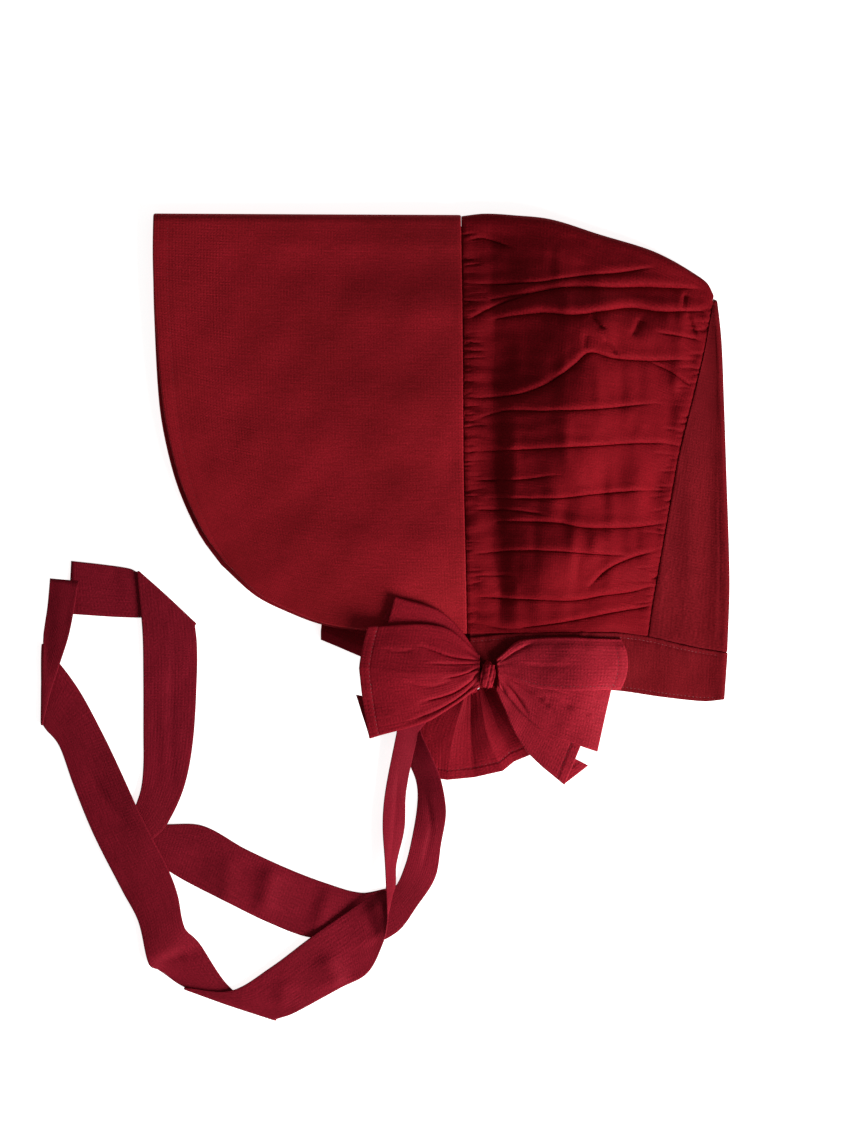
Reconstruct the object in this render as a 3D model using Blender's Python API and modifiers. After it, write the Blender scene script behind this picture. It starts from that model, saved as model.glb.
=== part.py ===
# Cloth bonnet with a stiffened brim, folded in half and lying on its side with its ties loose.
#
# +Z points up from the surface that it lies on. The brim's front edge looks along -X, the top
# fold lies along +Y and the neck edge along -Y. The far half lies on the surface and the near
# half on top of it, joined at one fold that runs along the top and down the centre back.
# Tables are in millimetres; everything that Blender is given is in metres.

import math
from collections import namedtuple

import bmesh
import bpy
from mathutils import Vector

MM = 0.001

Point = namedtuple("Point", "x y")
Height = namedtuple("Height", "at value")
Crease = namedtuple("Crease", "x0 y0 x1 y1 x2 y2 depth width")
Pleat = namedtuple("Pleat", "knot_x knot_y knot_z mid_x mid_y mid_z end_x end_y end_z turn")
Rung = namedtuple("Rung", "left_x left_y left_z right_x right_y right_z turn")

# Walls
BRIM_WALL = 2.4
CROWN_WALL = 1.3
BAND_WALL = 1.6
BOW_WALL = 1.0
TIE_WALL = 1.0
SEAM_GAP = 0.35
FLOOR_GAP = 0.05
REST_GAP = 0.35

# Outline of the folded bonnet, seen from above
BRIM_FRONT = [Point(-139, 242), Point(-139.5, 215), Point(-139, 184), Point(-136, 130),
              Point(-131.5, 103), Point(-124, 76.5), Point(-111.5, 49.5), Point(-98.5, 31.5)]
BRIM_BOTTOM = [Point(-98.5, 31.5), Point(-78.5, 13.5), Point(-61.5, 4.5), Point(-37.5, -4.5),
               Point(-16.5, -7.5), Point(15, -9), Point(49.5, -9.5)]
BRIM_TOP = [Point(-139, 242), Point(-50, 241.5), Point(46, 241)]
FRONT_SEAM = [Point(46, 241), Point(47, 160), Point(47.5, 85), Point(49, 20), Point(49.5, -9.5)]
CROWN_TOP = [Point(46, 241), Point(60, 242.5), Point(78, 241.5), Point(100, 239),
             Point(129, 230), Point(157.5, 221.5), Point(172, 215), Point(186.5, 206.5),
             Point(194, 201), Point(198, 193.5)]
BACK_SEAM = [Point(198, 193.5), Point(192, 160), Point(177, 100), Point(171.5, 70),
             Point(161, 10.5), Point(158, -11)]
NECK_LINE = [Point(49.5, -9.5), Point(81, -9), Point(135, -8.5), Point(158, -11)]
BACK_NECK_LINE = [Point(158, -11), Point(183, -17), Point(206, -21)]
BACK_TIP = [Point(197.3, 189.5), Point(200, 189.5)]
BACK_FOLD = [Point(200, 189.5), Point(202.5, 166.5), Point(204, 130.5), Point(205.5, 85.5),
             Point(207, 40.5), Point(207.3, 15), Point(206, -21)]
BAND_TOP = [Point(51, -11.5), Point(81, -9), Point(135, -8.5), Point(158, -11),
            Point(183, -17), Point(206, -21)]
BAND_BOTTOM = [Point(52, -42), Point(100, -42.5), Point(137, -43.5), Point(165, -47.5),
               Point(192, -50.5), Point(204, -49.5)]
BAND_FRONT = [Point(51, -11.5), Point(52, -42)]
BAND_FOLD = [Point(206, -21), Point(204, -49.5)]

# The far half of the brim shows past the near half along the front curve
PEEK = Point(2.6, 1.8)

# Half the space between the two halves, by place from front to back
FOLD_RADIUS = [Height(-140, 3.7), Height(-40, 4.2), Height(46, 5.0), Height(110, 7.0),
               Height(165, 5.0), Height(198, 2.6), Height(208, 2.6)]
# How far the near half rises above that
PUFF = 26.0
PUFF_BY_LENGTH = [Height(-125, 0.0), Height(62, 0.60), Height(118, 1.0), Height(180, 0.20),
                  Height(200, 0.0), Height(210, 0.0)]
PUFF_BY_DEPTH = [Height(0.0, 0.0), Height(0.08, 0.22), Height(0.25, 0.75), Height(0.45, 1.0),
                 Height(0.75, 0.8), Height(1.0, 0.3), Height(1.2, 0.12)]
TOP_LINE = [Height(-140, 242), Height(46, 241), Height(78, 241.5), Height(129, 230),
            Height(172, 215), Height(198, 193), Height(208, 188)]
NECK_Y = -11.0
BRIM_EDGE = 47.0

# The far bow under the neck corner lifts the cloth above it
KNOT = Point(58, -34)
LIFT = 10.0
LIFT_FRONT = 190.0
LIFT_BACK = 125.0
LIFT_UP = 130.0
LIFT_POWER = 1.15
PINCH = 0.55
PINCH_REACH = 75.0

# Gathers and folds of the crown's near half
CREASES = [
    Crease(48, 201, 112, 202, 171, 211, 2.5, 4.0),
    Crease(52, 188, 113, 197, 194, 197, 4.5, 4.5),
    Crease(66, 179, 131, 185, 192, 184, 4.5, 4.5),
    Crease(51, 131, 100, 141, 122, 158, 3.5, 4.5),
    Crease(122, 157, 150, 155, 187, 154, 3.5, 4.5),
    Crease(52, 118, 110, 123, 163, 128, 2.5, 4.0),
    Crease(51, 99, 108, 103, 178, 103, 3.0, 4.5),
    Crease(52, 83, 100, 73, 173, 77, 2.5, 4.0),
    Crease(68, 57, 119, 54, 169, 57, 4.0, 4.5),
    Crease(52, 38, 90, 38, 145, 37, 2.5, 4.0),
    Crease(51, 13, 114, 11, 162, 19, 2.5, 4.0),
    Crease(54, -2, 90, -4, 160, 7, 3.0, 4.0),
]
SEAM_ROLL = 2.2
SEAM_ROLL_WIDTH = 14.0

# Pleated wings of the bows. Each row is one fold, from the knot to the wing's hemmed end, and
# the turn says whether the cloth goes on above the fold (1), below it (-1) or flat (0). The
# near bow's heights are counted from the cloth that it lies on, the far bow's from the floor.
PLEAT_RADIUS = 0.9
NEAR_BOW_FRONT_PLEATS = [
    Pleat(56.0, -27, 0.9, 30, -13, 1.5, -1, -1, 1.5, 0),
    Pleat(57.0, -23, 1.8, 36, 2, 2.5, 6.5, 12.5, 2.5, 1),
    Pleat(55.5, -28, 3.6, 30, -18, 4.2, -3, -22, 4.2, 1),
    Pleat(57.2, -23, 5.4, 34, -5.5, 6.2, -10, -5, 5.8, 1),
    Pleat(57.0, -32, 9.6, 24, -33, 13.0, -12.5, -30, 9.0, 0),
    Pleat(57.0, -41, 6.6, 27, -61, 9.6, -9, -72, 6.2, -1),
    Pleat(55.0, -38, 4.2, 22, -53, 5.0, -17, -46, 3.4, 0),
]
NEAR_BOW_BACK_PLEATS = [
    Pleat(67.5, -40, 1.5, 90, -70, 1.5, 122, -88.5, 1.4, 0),
    Pleat(67.0, -43, 2.4, 84, -78, 2.4, 108, -100, 2.3, 1),
    Pleat(68.5, -34, 3.9, 96, -54, 3.9, 125, -57, 3.9, 1),
    Pleat(68.5, -41, 5.7, 93, -66, 5.7, 127.5, -80, 5.7, 1),
    Pleat(67.0, -25, 7.5, 84, -13.2, 7.5, 142, -12.8, 7.5, 1),
    Pleat(68.0, -32, 9.2, 92, -42, 8.6, 141, -43.0, 8.4, 0),
]
FAR_BOW_FRONT_PLEATS = [
    Pleat(48.0, -44, 0.8, 9, -33, 0.6, -38.5, -13.5, 0.6, 0),
    Pleat(48.0, -41, 3.0, 8, -26, 2.0, -38.5, -8, 1.4, 0),
    Pleat(48.0, -38, 1.2, 8, -18, 0.8, -38, -3, 0.6, 0),
    Pleat(48.0, -35, 3.5, 8, -10, 2.2, -38, 3, 1.6, 0),
    Pleat(48.0, -32, 1.5, 8, -2, 0.8, -37, 8, 0.6, 0),
]
FAR_BOW_LOWER_PLEATS = [
    Pleat(46.0, -47.5, 0.8, 29, -70, 0.8, 24.5, -96, 0.6, 0),
    Pleat(48.5, -47.5, 3.0, 41, -73, 2.8, 37.5, -98, 1.8, 0),
    Pleat(51.0, -48.0, 0.8, 52, -73, 0.8, 54, -96.5, 0.6, 0),
    Pleat(53.0, -48.0, 4.0, 62, -72, 4.2, 71, -92.5, 3.2, 0),
    Pleat(55.5, -47.5, 0.9, 68, -66, 0.8, 78, -87, 0.6, 0),
    Pleat(58.5, -45.0, 3.0, 76, -62, 2.4, 90, -82, 1.6, 0),
    Pleat(64.0, -38.0, 0.9, 86, -56, 0.8, 105, -70, 0.6, 0),
]
KNOT_WIDTH = 7.6
KNOT_HEIGHT = 17.0
NEAR_KNOT_DEPTH = 11.5
FAR_KNOT = Point(52.5, -38.0)
FAR_KNOT_DEPTH = 8.6

# Each tie is a flat band, given by rungs across it from edge to edge. At a turn the band folds
# over flat along that rung, on above itself (1) or on below itself (-1).
TURN_RADIUS = 0.95
NEAR_TIE_RUNGS = [
    Rung(56.5, -29, 17.5, 56.5, -39, 17.2, 0),
    Rung(24, -37, 16.8, 38, -54, 15.6, 0),
    Rung(10.5, -52, 12.0, 25, -63, 10.5, 0),
    Rung(7, -70, 8.5, 20, -72, 6.5, 0),
    Rung(0.3, -105, 6.0, 13, -105, 2.5, 0),
    Rung(-1.2, -125, 7.0, 12, -127, 2.0, 0),
    Rung(0.3, -149, 8.5, 7, -149, 3.0, 0),
    Rung(0.9, -164, 9.0, 6.5, -162, 4.0, 0),
    Rung(1.5, -184, 6.5, 3.5, -165, 4.0, 0),
    Rung(-0.5, -195, 4.6, -2.7, -164.5, 3.6, 0),
    Rung(-10, -214, 2.6, -22, -177, 3.4, 0),
    Rung(-27, -223.5, 1.4, -45, -193, 3.2, 0),
    Rung(-48, -235, 2.4, -69, -211, 2.6, 0),
    Rung(-57, -239.5, 2.5, -93, -225, 2.5, 0),
    Rung(-65.5, -243, 1.55, -121, -224, 1.55, -1),
    Rung(-81, -233, 0.6, -126, -220, 0.6, 0),
    Rung(-96, -220, 0.6, -132, -215.5, 0.6, 0),
    Rung(-112.5, -195, 2.2, -137, -212, 2.2, 0),
    Rung(-120, -187.5, 4.0, -142, -209, 4.0, 0),
    Rung(-124.5, -167, 4.6, -148.5, -183, 2.6, 0),
    Rung(-130, -152, 5.0, -158, -165, 2.0, 0),
    Rung(-147, -118.5, 5.6, -175.5, -130.5, 2.4, 0),
    Rung(-159.5, -91.5, 2.6, -187.5, -101.5, 1.0, 0),
    Rung(-171, -68, 1.0, -196, -78, 0.6, 0),
    Rung(-186, -41, 0.6, -204, -68, 0.6, 0),
    Rung(-206.5, -16, 1.55, -207, -65, 1.55, 1),
    Rung(-205.5, -10, 2.6, -200.5, -43, 2.6, 0),
    Rung(-204.5, -3, 2.7, -195.5, -28, 4.0, 0),
    Rung(-203, 7, 3.0, -189.5, -9, 5.6, 0),
    Rung(-201.5, 23.5, 3.2, -184, 22, 5.4, 0),
]
FAR_TIE_RUNGS = [
    Rung(47.5, -35.5, 7.2, 47.5, -43, 7.2, 0),
    Rung(24, -46.5, 6.4, 33.5, -54, 6.4, 0),
    Rung(12, -60, 3.0, 22, -66, 3.2, 0),
    Rung(12.5, -81, 1.2, 28, -82.5, 4.6, 0),
    Rung(19, -99, 0.8, 34, -98, 6.0, 0),
    Rung(19.5, -114, 1.0, 37, -117, 5.0, 0),
    Rung(15.5, -137, 2.6, 34, -137, 1.4, 0),
    Rung(12, -150, 2.0, 30.5, -157, 0.8, 0),
    Rung(6.5, -162, 0.8, 19, -175, 0.7, 0),
    Rung(0.3, -163.5, 0.6, 8.5, -189, 0.6, 0),
    Rung(-14, -166, 0.6, -7, -196, 0.6, 0),
    Rung(-36, -160, 0.6, -45, -193, 0.6, 0),
    Rung(-57, -152, 0.6, -69, -184.5, 0.6, 0),
    Rung(-84, -139.5, 1.6, -97.5, -170.5, 1.6, 0),
    Rung(-110, -125.5, 0.6, -122, -158, 0.6, 0),
    Rung(-136, -124.5, 0.6, -141, -146, 0.6, 0),
    Rung(-154, -122, 1.55, -149, -142, 1.55, 1),
    Rung(-151, -116, 2.5, -140, -134, 2.5, 0),
    Rung(-147, -104, 2.2, -131.5, -125.5, 2.4, 0),
    Rung(-145.5, -89, 1.0, -121, -103, 1.2, 0),
    Rung(-145.5, -70, 0.6, -115.5, -75, 0.6, 0),
    Rung(-145.5, -33, 1.4, -113, -33, 1.4, 0),
    Rung(-146, -8, 2.5, -113, -16, 2.5, 0),
    Rung(-148.5, 28, 1.55, -113.5, -4, 1.55, -1),
    Rung(-154, 29.5, 0.6, -128, -1, 0.6, 0),
    Rung(-171, 32, 0.6, -160, 0, 0.6, 0),
    Rung(-189, 34, 0.6, -190.5, 2, 0.6, 0),
]

Finish = namedtuple("Finish", "name red green blue roughness")
COTTON = Finish("wine_red_cotton", 0.17, 0.010, 0.016, 0.85)
STIFFENED = Finish("wine_red_stiffened_cotton", 0.20, 0.012, 0.017, 0.85)
RIBBON = Finish("wine_red_cotton_tie", 0.22, 0.014, 0.022, 0.85)


def clear_scene():
    for old in list(bpy.data.objects):
        bpy.data.objects.remove(old, do_unlink=True)


def material(finish):
    made = bpy.data.materials.get(finish.name) or bpy.data.materials.new(finish.name)
    made.use_nodes = True
    shader = made.node_tree.nodes["Principled BSDF"]
    shader.inputs["Base Color"].default_value = (finish.red, finish.green, finish.blue, 1.0)
    shader.inputs["Roughness"].default_value = finish.roughness
    shader.inputs["Metallic"].default_value = 0.0
    return made


def ease(share):
    share = min(max(share, 0.0), 1.0)
    return share * share * (3.0 - 2.0 * share)


def smooth_curve(points):
    """A smooth curve through the points, as a function of the share of its length."""
    knots = [Vector(point) for point in points]
    marks = [0.0]
    for before, after in zip(knots, knots[1:]):
        marks.append(marks[-1] + (after - before).length)
    marks = [mark / marks[-1] for mark in marks]

    def slope(index):
        low = max(index - 1, 0)
        high = min(index + 1, len(knots) - 1)
        return (knots[high] - knots[low]) / (marks[high] - marks[low])

    def at(share):
        share = min(max(share, 0.0), 1.0)
        index = 0
        while index < len(knots) - 2 and marks[index + 1] < share:
            index += 1
        span = marks[index + 1] - marks[index]
        t = (share - marks[index]) / span
        start = knots[index] * (2 * t ** 3 - 3 * t ** 2 + 1)
        end = knots[index + 1] * (3 * t ** 2 - 2 * t ** 3)
        leave = slope(index) * span * (t ** 3 - 2 * t ** 2 + t)
        arrive = slope(index + 1) * span * (t ** 3 - t ** 2)
        return start + leave + end + arrive

    return at


def height_at(table, place):
    """The value at a place between a table's rows, eased from row to row."""
    if place <= table[0].at:
        return table[0].value
    for low, high in zip(table, table[1:]):
        if place <= high.at:
            share = (place - low.at) / (high.at - low.at)
            return low.value + (high.value - low.value) * ease(share)
    return table[-1].value


def patch(left, right, top, bottom):
    """The flat patch between four outlines, across u from left to right and v from the top."""
    sides = [smooth_curve(outline) for outline in (left, right, top, bottom)]

    def at(u, v):
        left_at, right_at, top_at, bottom_at = sides
        across = left_at(v) * (1 - u) + right_at(v) * u
        down = top_at(u) * (1 - v) + bottom_at(u) * v
        upper = top_at(0) * (1 - u) + top_at(1) * u
        lower = bottom_at(0) * (1 - u) + bottom_at(1) * u
        return across + down - (upper * (1 - v) + lower * v)

    return at


def lift_at(x, y):
    reach = LIFT_FRONT if x < KNOT.x else LIFT_BACK
    away = math.hypot((x - KNOT.x) / reach, (y - KNOT.y) / LIFT_UP)
    return LIFT * max(0.0, 1.0 - away) ** LIFT_POWER


def radius_at(x, y):
    """Half the space between the halves, less where the bow is tied round the neck corner."""
    near_knot = ease(1.0 - math.hypot(x - KNOT.x, y - KNOT.y) / PINCH_REACH)
    return height_at(FOLD_RADIUS, x) * (1.0 - PINCH * near_knot)


def puff_at(x, y):
    top = height_at(TOP_LINE, x)
    depth = (top - y) / (top - NECK_Y)
    near_knot = ease(1.0 - math.hypot(x - KNOT.x, y - KNOT.y) / PINCH_REACH)
    rise = height_at(PUFF_BY_LENGTH, x) * height_at(PUFF_BY_DEPTH, depth)
    return PUFF * rise * (1.0 - near_knot)


def far_level(x, y, wall):
    return FLOOR_GAP + wall / 2 + lift_at(x, y)


def near_level(x, y, wall):
    return far_level(x, y, wall) + 2 * radius_at(x, y) + puff_at(x, y)


def crease_depth(x, y):
    """How far the crown's creases press its near half down at a place."""
    place = Vector((x, y))
    total = 0.0
    for crease in CREASES:
        corners = [Vector((crease.x0, crease.y0)), Vector((crease.x1, crease.y1)),
                   Vector((crease.x2, crease.y2))]
        nearest = 1e9
        for start, end in zip(corners, corners[1:]):
            run = end - start
            share = min(max((place - start).dot(run) / run.length_squared, 0.0), 1.0)
            nearest = min(nearest, (place - start - run * share).length)
        ratio = nearest / crease.width
        total += crease.depth * (math.exp(-ratio ** 2) - 0.35 * math.exp(-(ratio - 1.9) ** 2))
    return total


def cloth(name, columns, rows, place, wall, finish):
    """A grid with one corner at place(column, row) for each pair, given a wall."""
    bm = bmesh.new()
    bmesh.ops.create_grid(bm, x_segments=len(columns) - 1, y_segments=len(rows) - 1, size=0.5)
    for vert in bm.verts:
        column = columns[round((vert.co.x + 0.5) * (len(columns) - 1))]
        row = rows[round((vert.co.y + 0.5) * (len(rows) - 1))]
        vert.co = Vector(place(column, row)) * MM
    mesh = bpy.data.meshes.new(name)
    bm.to_mesh(mesh)
    bm.free()
    mesh.shade_smooth()
    piece = bpy.data.objects.new(name, mesh)
    thickness = piece.modifiers.new("wall", "SOLIDIFY")
    thickness.thickness = wall * MM
    thickness.offset = 0.0
    thickness.use_even_offset = True
    piece.data.materials.append(material(finish))
    PARTS.objects.link(piece)
    return piece


def steps(start, end, count):
    return [start + (end - start) * index / count for index in range(count + 1)]


def hairpin(near_count, far_count):
    """Places across a fold: 2 to 1 is the near half, 1 to -1 the fold, -1 to -2 the far half."""
    fold = [math.cos(math.radians(angle)) for angle in (45, 90, 135)]
    return steps(2.0, 1.0, near_count) + fold + steps(-1.0, -2.0, far_count)


def folded(flat, wall, peek=None, relief=None, fold_along="top", radius_limit=None):
    """Bends a flat patch round its fold line, at v = 0 for a top fold and u = 1 for a back one."""

    def place(along, turn):
        def spot(depth):
            if fold_along == "top":
                return flat(along, depth)
            return flat(1.0 - depth, along)

        edge = spot(0.0)
        run = (spot(1.0) - edge).length
        radius = radius_at(edge.x, edge.y)
        if radius_limit:
            radius = min(radius, radius_limit(run))
        inset = radius / run
        if abs(turn) < 1.0:
            angle = math.acos(turn)
            at = spot(inset * (1.0 - math.sin(angle)))
            base = far_level(edge.x, edge.y, wall) + radius
            return at.x, at.y, base + radius * turn
        at = spot(inset + (abs(turn) - 1.0) * (1.0 - inset))
        if turn < 0:
            return at.x, at.y, far_level(at.x, at.y, wall)
        z = near_level(at.x, at.y, wall)
        own = far_level(edge.x, edge.y, wall) + 2 * radius
        start = spot(inset)
        blend = 1.0 - ease((at - start).length / (4.0 * radius))
        z += (own - near_level(start.x, start.y, wall)) * blend
        if peek:
            shift = ease((turn - 1.0) * 1.6) * (1.0 - along)
            at = at + Vector(PEEK) * shift
        if relief:
            z += relief(at.x, at.y, turn - 1.0, along)
        return at.x, at.y, z

    return place


def brim():
    top_end = Point(BRIM_TOP[-1].x - SEAM_GAP, BRIM_TOP[-1].y)
    seam = [Point(point.x - SEAM_GAP, point.y) for point in FRONT_SEAM]
    bottom = BRIM_BOTTOM[:-1] + [seam[-1]]
    flat = patch(BRIM_FRONT, seam, BRIM_TOP[:-1] + [top_end], bottom)
    place = folded(flat, BRIM_WALL, peek=True)
    cloth("brim", steps(0, 1, 9), hairpin(11, 9), place, BRIM_WALL, STIFFENED)


def gathers(x, y, depth, along):
    """The crown's relief: a roll beside the front seam, and creases that fade out at the edges."""
    from_seam = (x - FRONT_SEAM[0].x) / SEAM_ROLL_WIDTH
    roll = SEAM_ROLL * math.exp(-(from_seam - 1.0) ** 2 * 3.0)
    edge_fade = ease(depth / 0.06) * ease(along / 0.08) * ease((1.0 - along) / 0.08)
    edge_fade *= ease((1.0 - depth) / 0.04)
    return (roll - crease_depth(x, y)) * edge_fade


def crown():
    seam = [Point(point.x + SEAM_GAP, point.y) for point in FRONT_SEAM]
    top = [seam[0]] + CROWN_TOP[1:]
    neck = [seam[-1]] + NECK_LINE[1:]
    flat = patch(seam, BACK_SEAM, top, neck)
    place = folded(flat, CROWN_WALL, relief=gathers)
    cloth("crown", steps(0, 1, 12), hairpin(36, 9), place, CROWN_WALL, COTTON)


def back_panel():
    seam = [Point(point.x + 2 * SEAM_GAP, point.y) for point in BACK_SEAM[1:]]
    seam = [Point(BACK_TIP[0].x + 2 * SEAM_GAP, BACK_TIP[0].y)] + seam
    tip = [seam[0], BACK_TIP[1]]
    neck = [seam[-1]] + BACK_NECK_LINE[1:]
    flat = patch(seam, BACK_FOLD, tip, neck)
    place = folded(flat, CROWN_WALL, fold_along="back", radius_limit=lambda run: 0.6 * run)
    cloth("back_panel", steps(0, 1, 14), hairpin(5, 4), place, CROWN_WALL, COTTON)


def neck_band():
    top = [Point(point.x, point.y - 2.4 * SEAM_GAP) for point in BAND_TOP]
    front = [top[0], BAND_FRONT[1]]
    fold = [top[-1], BAND_FOLD[1]]
    flat = patch(front, fold, top, BAND_BOTTOM)
    place = folded(flat, BAND_WALL, fold_along="back")
    cloth("neck_band", steps(0, 1, 3), hairpin(13, 10), place, BAND_WALL, COTTON)


def pleated_place(pleats, rest):
    """Lays pleats side by side, with a round bend at each fold and a straight run between."""

    def corner(pleat, share):
        curve = smooth_curve([(pleat.knot_x, pleat.knot_y, pleat.knot_z),
                              (pleat.mid_x, pleat.mid_y, pleat.mid_z),
                              (pleat.end_x, pleat.end_y, pleat.end_z)])
        at = curve(share)
        return Vector((at.x, at.y, at.z + rest(at.x, at.y)))

    def place(share, across):
        index, offset = across
        pleat = pleats[index]
        apex = corner(pleat, share)
        if pleat.turn and isinstance(offset, str):
            before = corner(pleats[index - 1], share)
            after = corner(pleats[index + 1], share)
            inward = ((before + after) / 2 - apex).xy.normalized() * PLEAT_RADIUS
            angle = math.radians(float(offset))
            drop = inward * (1.0 - math.cos(angle))
            rise = PLEAT_RADIUS * pleat.turn * math.sin(angle)
            return apex.x + drop.x, apex.y + drop.y, apex.z + rise
        start = Vector(place(share, (index, "90"))) if pleat.turn else apex
        following = pleats[index + 1]
        end = corner(following, share)
        if following.turn:
            end = Vector(place(share, (index + 1, "-90")))
        return tuple(start.lerp(end, offset))

    return place


def pleat_stations(pleats, between):
    """Where the cloth's rows lie across the pleats: bends by angle, runs by share."""
    stations = []
    for index, pleat in enumerate(pleats):
        if pleat.turn:
            stations += [(index, "-90"), (index, "-45"), (index, "0"), (index, "45"), (index, "90")]
        if index == len(pleats) - 1:
            stations.append((index - 1, 1.0))
            continue
        shares = [count / between for count in range(between)]
        if pleat.turn:
            shares = shares[1:]
        stations += [(index, share) for share in shares]
    return stations


def bow_wing(name, pleats, rest, lengths, between):
    place = pleated_place(pleats, rest)
    stations = pleat_stations(pleats, between)
    cloth(name, steps(0, 1, lengths), stations, place, BOW_WALL, RIBBON)


def near_rest(x, y):
    """The surface that the near bow lies on, going down gently past the neck edge."""
    wall = height_at([Height(BRIM_EDGE, BRIM_WALL), Height(BRIM_EDGE + 9, BAND_WALL)], x)
    level = near_level(x, max(y, NECK_Y), wall) + wall / 2
    return level - 0.16 * max(0.0, -32.0 - y)


def knot(name, centre, depth):
    """A rounded lump of wound cloth, from a cube that is rounded by subdivision."""
    bm = bmesh.new()
    bmesh.ops.create_cube(bm, size=1.0)
    for vert in bm.verts:
        vert.co = Vector((vert.co.x * KNOT_WIDTH * 1.3, vert.co.y * KNOT_HEIGHT * 1.3,
                          vert.co.z * depth * 1.3)) * MM
    mesh = bpy.data.meshes.new(name)
    bm.to_mesh(mesh)
    bm.free()
    mesh.shade_smooth()
    lump = bpy.data.objects.new(name, mesh)
    lump.location = Vector(centre) * MM
    rounding = lump.modifiers.new("rounding", "SUBSURF")
    rounding.levels = 2
    rounding.render_levels = 2
    lump.data.materials.append(material(RIBBON))
    PARTS.objects.link(lump)
    return lump


def tie_rows(rungs):
    """The rungs of a tie, with a half round of rungs for each turn, and one between each pair."""
    rows = []
    for index, rung in enumerate(rungs):
        left = Vector((rung.left_x, rung.left_y, rung.left_z))
        right = Vector((rung.right_x, rung.right_y, rung.right_z))
        if not rung.turn:
            rows.append((left, right))
            continue
        before = rungs[index - 1]
        middle = Vector((before.left_x + before.right_x, before.left_y + before.right_y)) / 2
        line = (right - left).xy
        normal = Vector((-line.y, line.x)).normalized()
        if normal.dot(middle - left.xy) < 0:
            normal = -normal
        for angle in (-90, -45, 0, 45, 90):
            turn = math.radians(angle)
            inward = normal * TURN_RADIUS * (1.0 - math.cos(turn))
            shift = Vector((inward.x, inward.y, rung.turn * TURN_RADIUS * math.sin(turn)))
            rows.append((left + shift, right + shift))
    return rows


def tie(name, rungs):
    rows = tie_rows(rungs)
    across = steps(0, 1, 2)

    def place(share, index):
        left, right = rows[index]
        return tuple(left.lerp(right, share))

    cloth(name, across, list(range(len(rows))), place, TIE_WALL, RIBBON)


clear_scene()
PARTS = bpy.data.collections.new("bonnet")
bpy.context.scene.collection.children.link(PARTS)

brim()
crown()
back_panel()
neck_band()

bow_wing("near_bow_front_wing", NEAR_BOW_FRONT_PLEATS, near_rest, 7, 3)
bow_wing("near_bow_back_wing", NEAR_BOW_BACK_PLEATS, near_rest, 7, 3)
near_base = near_rest(62, -34)
knot("near_knot", (61.8, -34.3, near_base + REST_GAP + NEAR_KNOT_DEPTH / 2), NEAR_KNOT_DEPTH)

bow_wing("far_bow_front_wing", FAR_BOW_FRONT_PLEATS, lambda x, y: 0.0, 6, 2)
bow_wing("far_bow_lower_wing", FAR_BOW_LOWER_PLEATS, lambda x, y: 0.0, 5, 2)
knot("far_knot", (FAR_KNOT.x, FAR_KNOT.y, REST_GAP + FAR_KNOT_DEPTH / 2), FAR_KNOT_DEPTH)

tie("near_tie", NEAR_TIE_RUNGS)
tie("far_tie", FAR_TIE_RUNGS)
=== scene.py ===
# A cotton bonnet with a stiffened brim, folded in half and lying on its side, seen from above.
# Tables are in millimetres. +Z is up from the floor, the brim's edge looks along -X, the top
# fold lies along +Y and the neck edge along -Y.

import math
from collections import namedtuple

import bmesh
import bpy
import numpy as np
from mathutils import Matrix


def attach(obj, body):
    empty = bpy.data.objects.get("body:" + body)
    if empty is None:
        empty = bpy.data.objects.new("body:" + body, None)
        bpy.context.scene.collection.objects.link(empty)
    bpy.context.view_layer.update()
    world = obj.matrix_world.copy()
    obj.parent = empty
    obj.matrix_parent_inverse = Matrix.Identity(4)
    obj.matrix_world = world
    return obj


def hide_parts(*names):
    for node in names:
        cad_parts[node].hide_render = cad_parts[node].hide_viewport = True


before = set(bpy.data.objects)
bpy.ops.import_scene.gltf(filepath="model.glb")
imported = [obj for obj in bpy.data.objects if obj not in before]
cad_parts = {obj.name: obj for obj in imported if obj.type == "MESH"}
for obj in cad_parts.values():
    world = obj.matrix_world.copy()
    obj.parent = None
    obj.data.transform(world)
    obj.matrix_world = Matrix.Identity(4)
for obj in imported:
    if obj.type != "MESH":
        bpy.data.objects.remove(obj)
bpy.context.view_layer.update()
mm = 0.001

Mark = namedtuple("Mark", "at value")
Fold = namedtuple("Fold", "route depth above below tuck", defaults=(0.0,))
Pleat = namedtuple("Pleat", "knot middle end turn", defaults=(0,))
Rung = namedtuple("Rung", "left right turn", defaults=(0,))


def newObject(name, data):
    made = bpy.data.objects.new(name, data)
    bpy.context.scene.collection.objects.link(made)
    return made


# Camera: straight down from high up, so that the cloth's own height shifts nothing
cameraView = {"aimX": 25.8, "aimY": 32.4, "standOff": 2500.0, "seenLength": 676.2,
              "seenLevel": 12.0, "sensor": 36.0, "clipEnd": 20.0}


def placeCamera(view):
    data = bpy.data.cameras.new("studioCamera")
    data.sensor_fit = "VERTICAL"
    data.sensor_height = view["sensor"]
    data.lens = view["sensor"] * (view["standOff"] - view["seenLevel"]) / view["seenLength"]
    data.clip_end = view["clipEnd"]
    camera = newObject("studioCamera", data)
    camera.location = (view["aimX"] * mm, view["aimY"] * mm, view["standOff"] * mm)
    bpy.context.scene.camera = camera


placeCamera(cameraView)
print("camera placed")


# Colours, nodes and materials

def hexColour(text):
    parts = [int(text[start:start + 2], 16) / 255 for start in (1, 3, 5)]
    linear = [part / 12.92 if part <= 0.04045 else ((part + 0.055) / 1.055) ** 2.4
              for part in parts]
    return (linear[0], linear[1], linear[2], 1.0)


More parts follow.
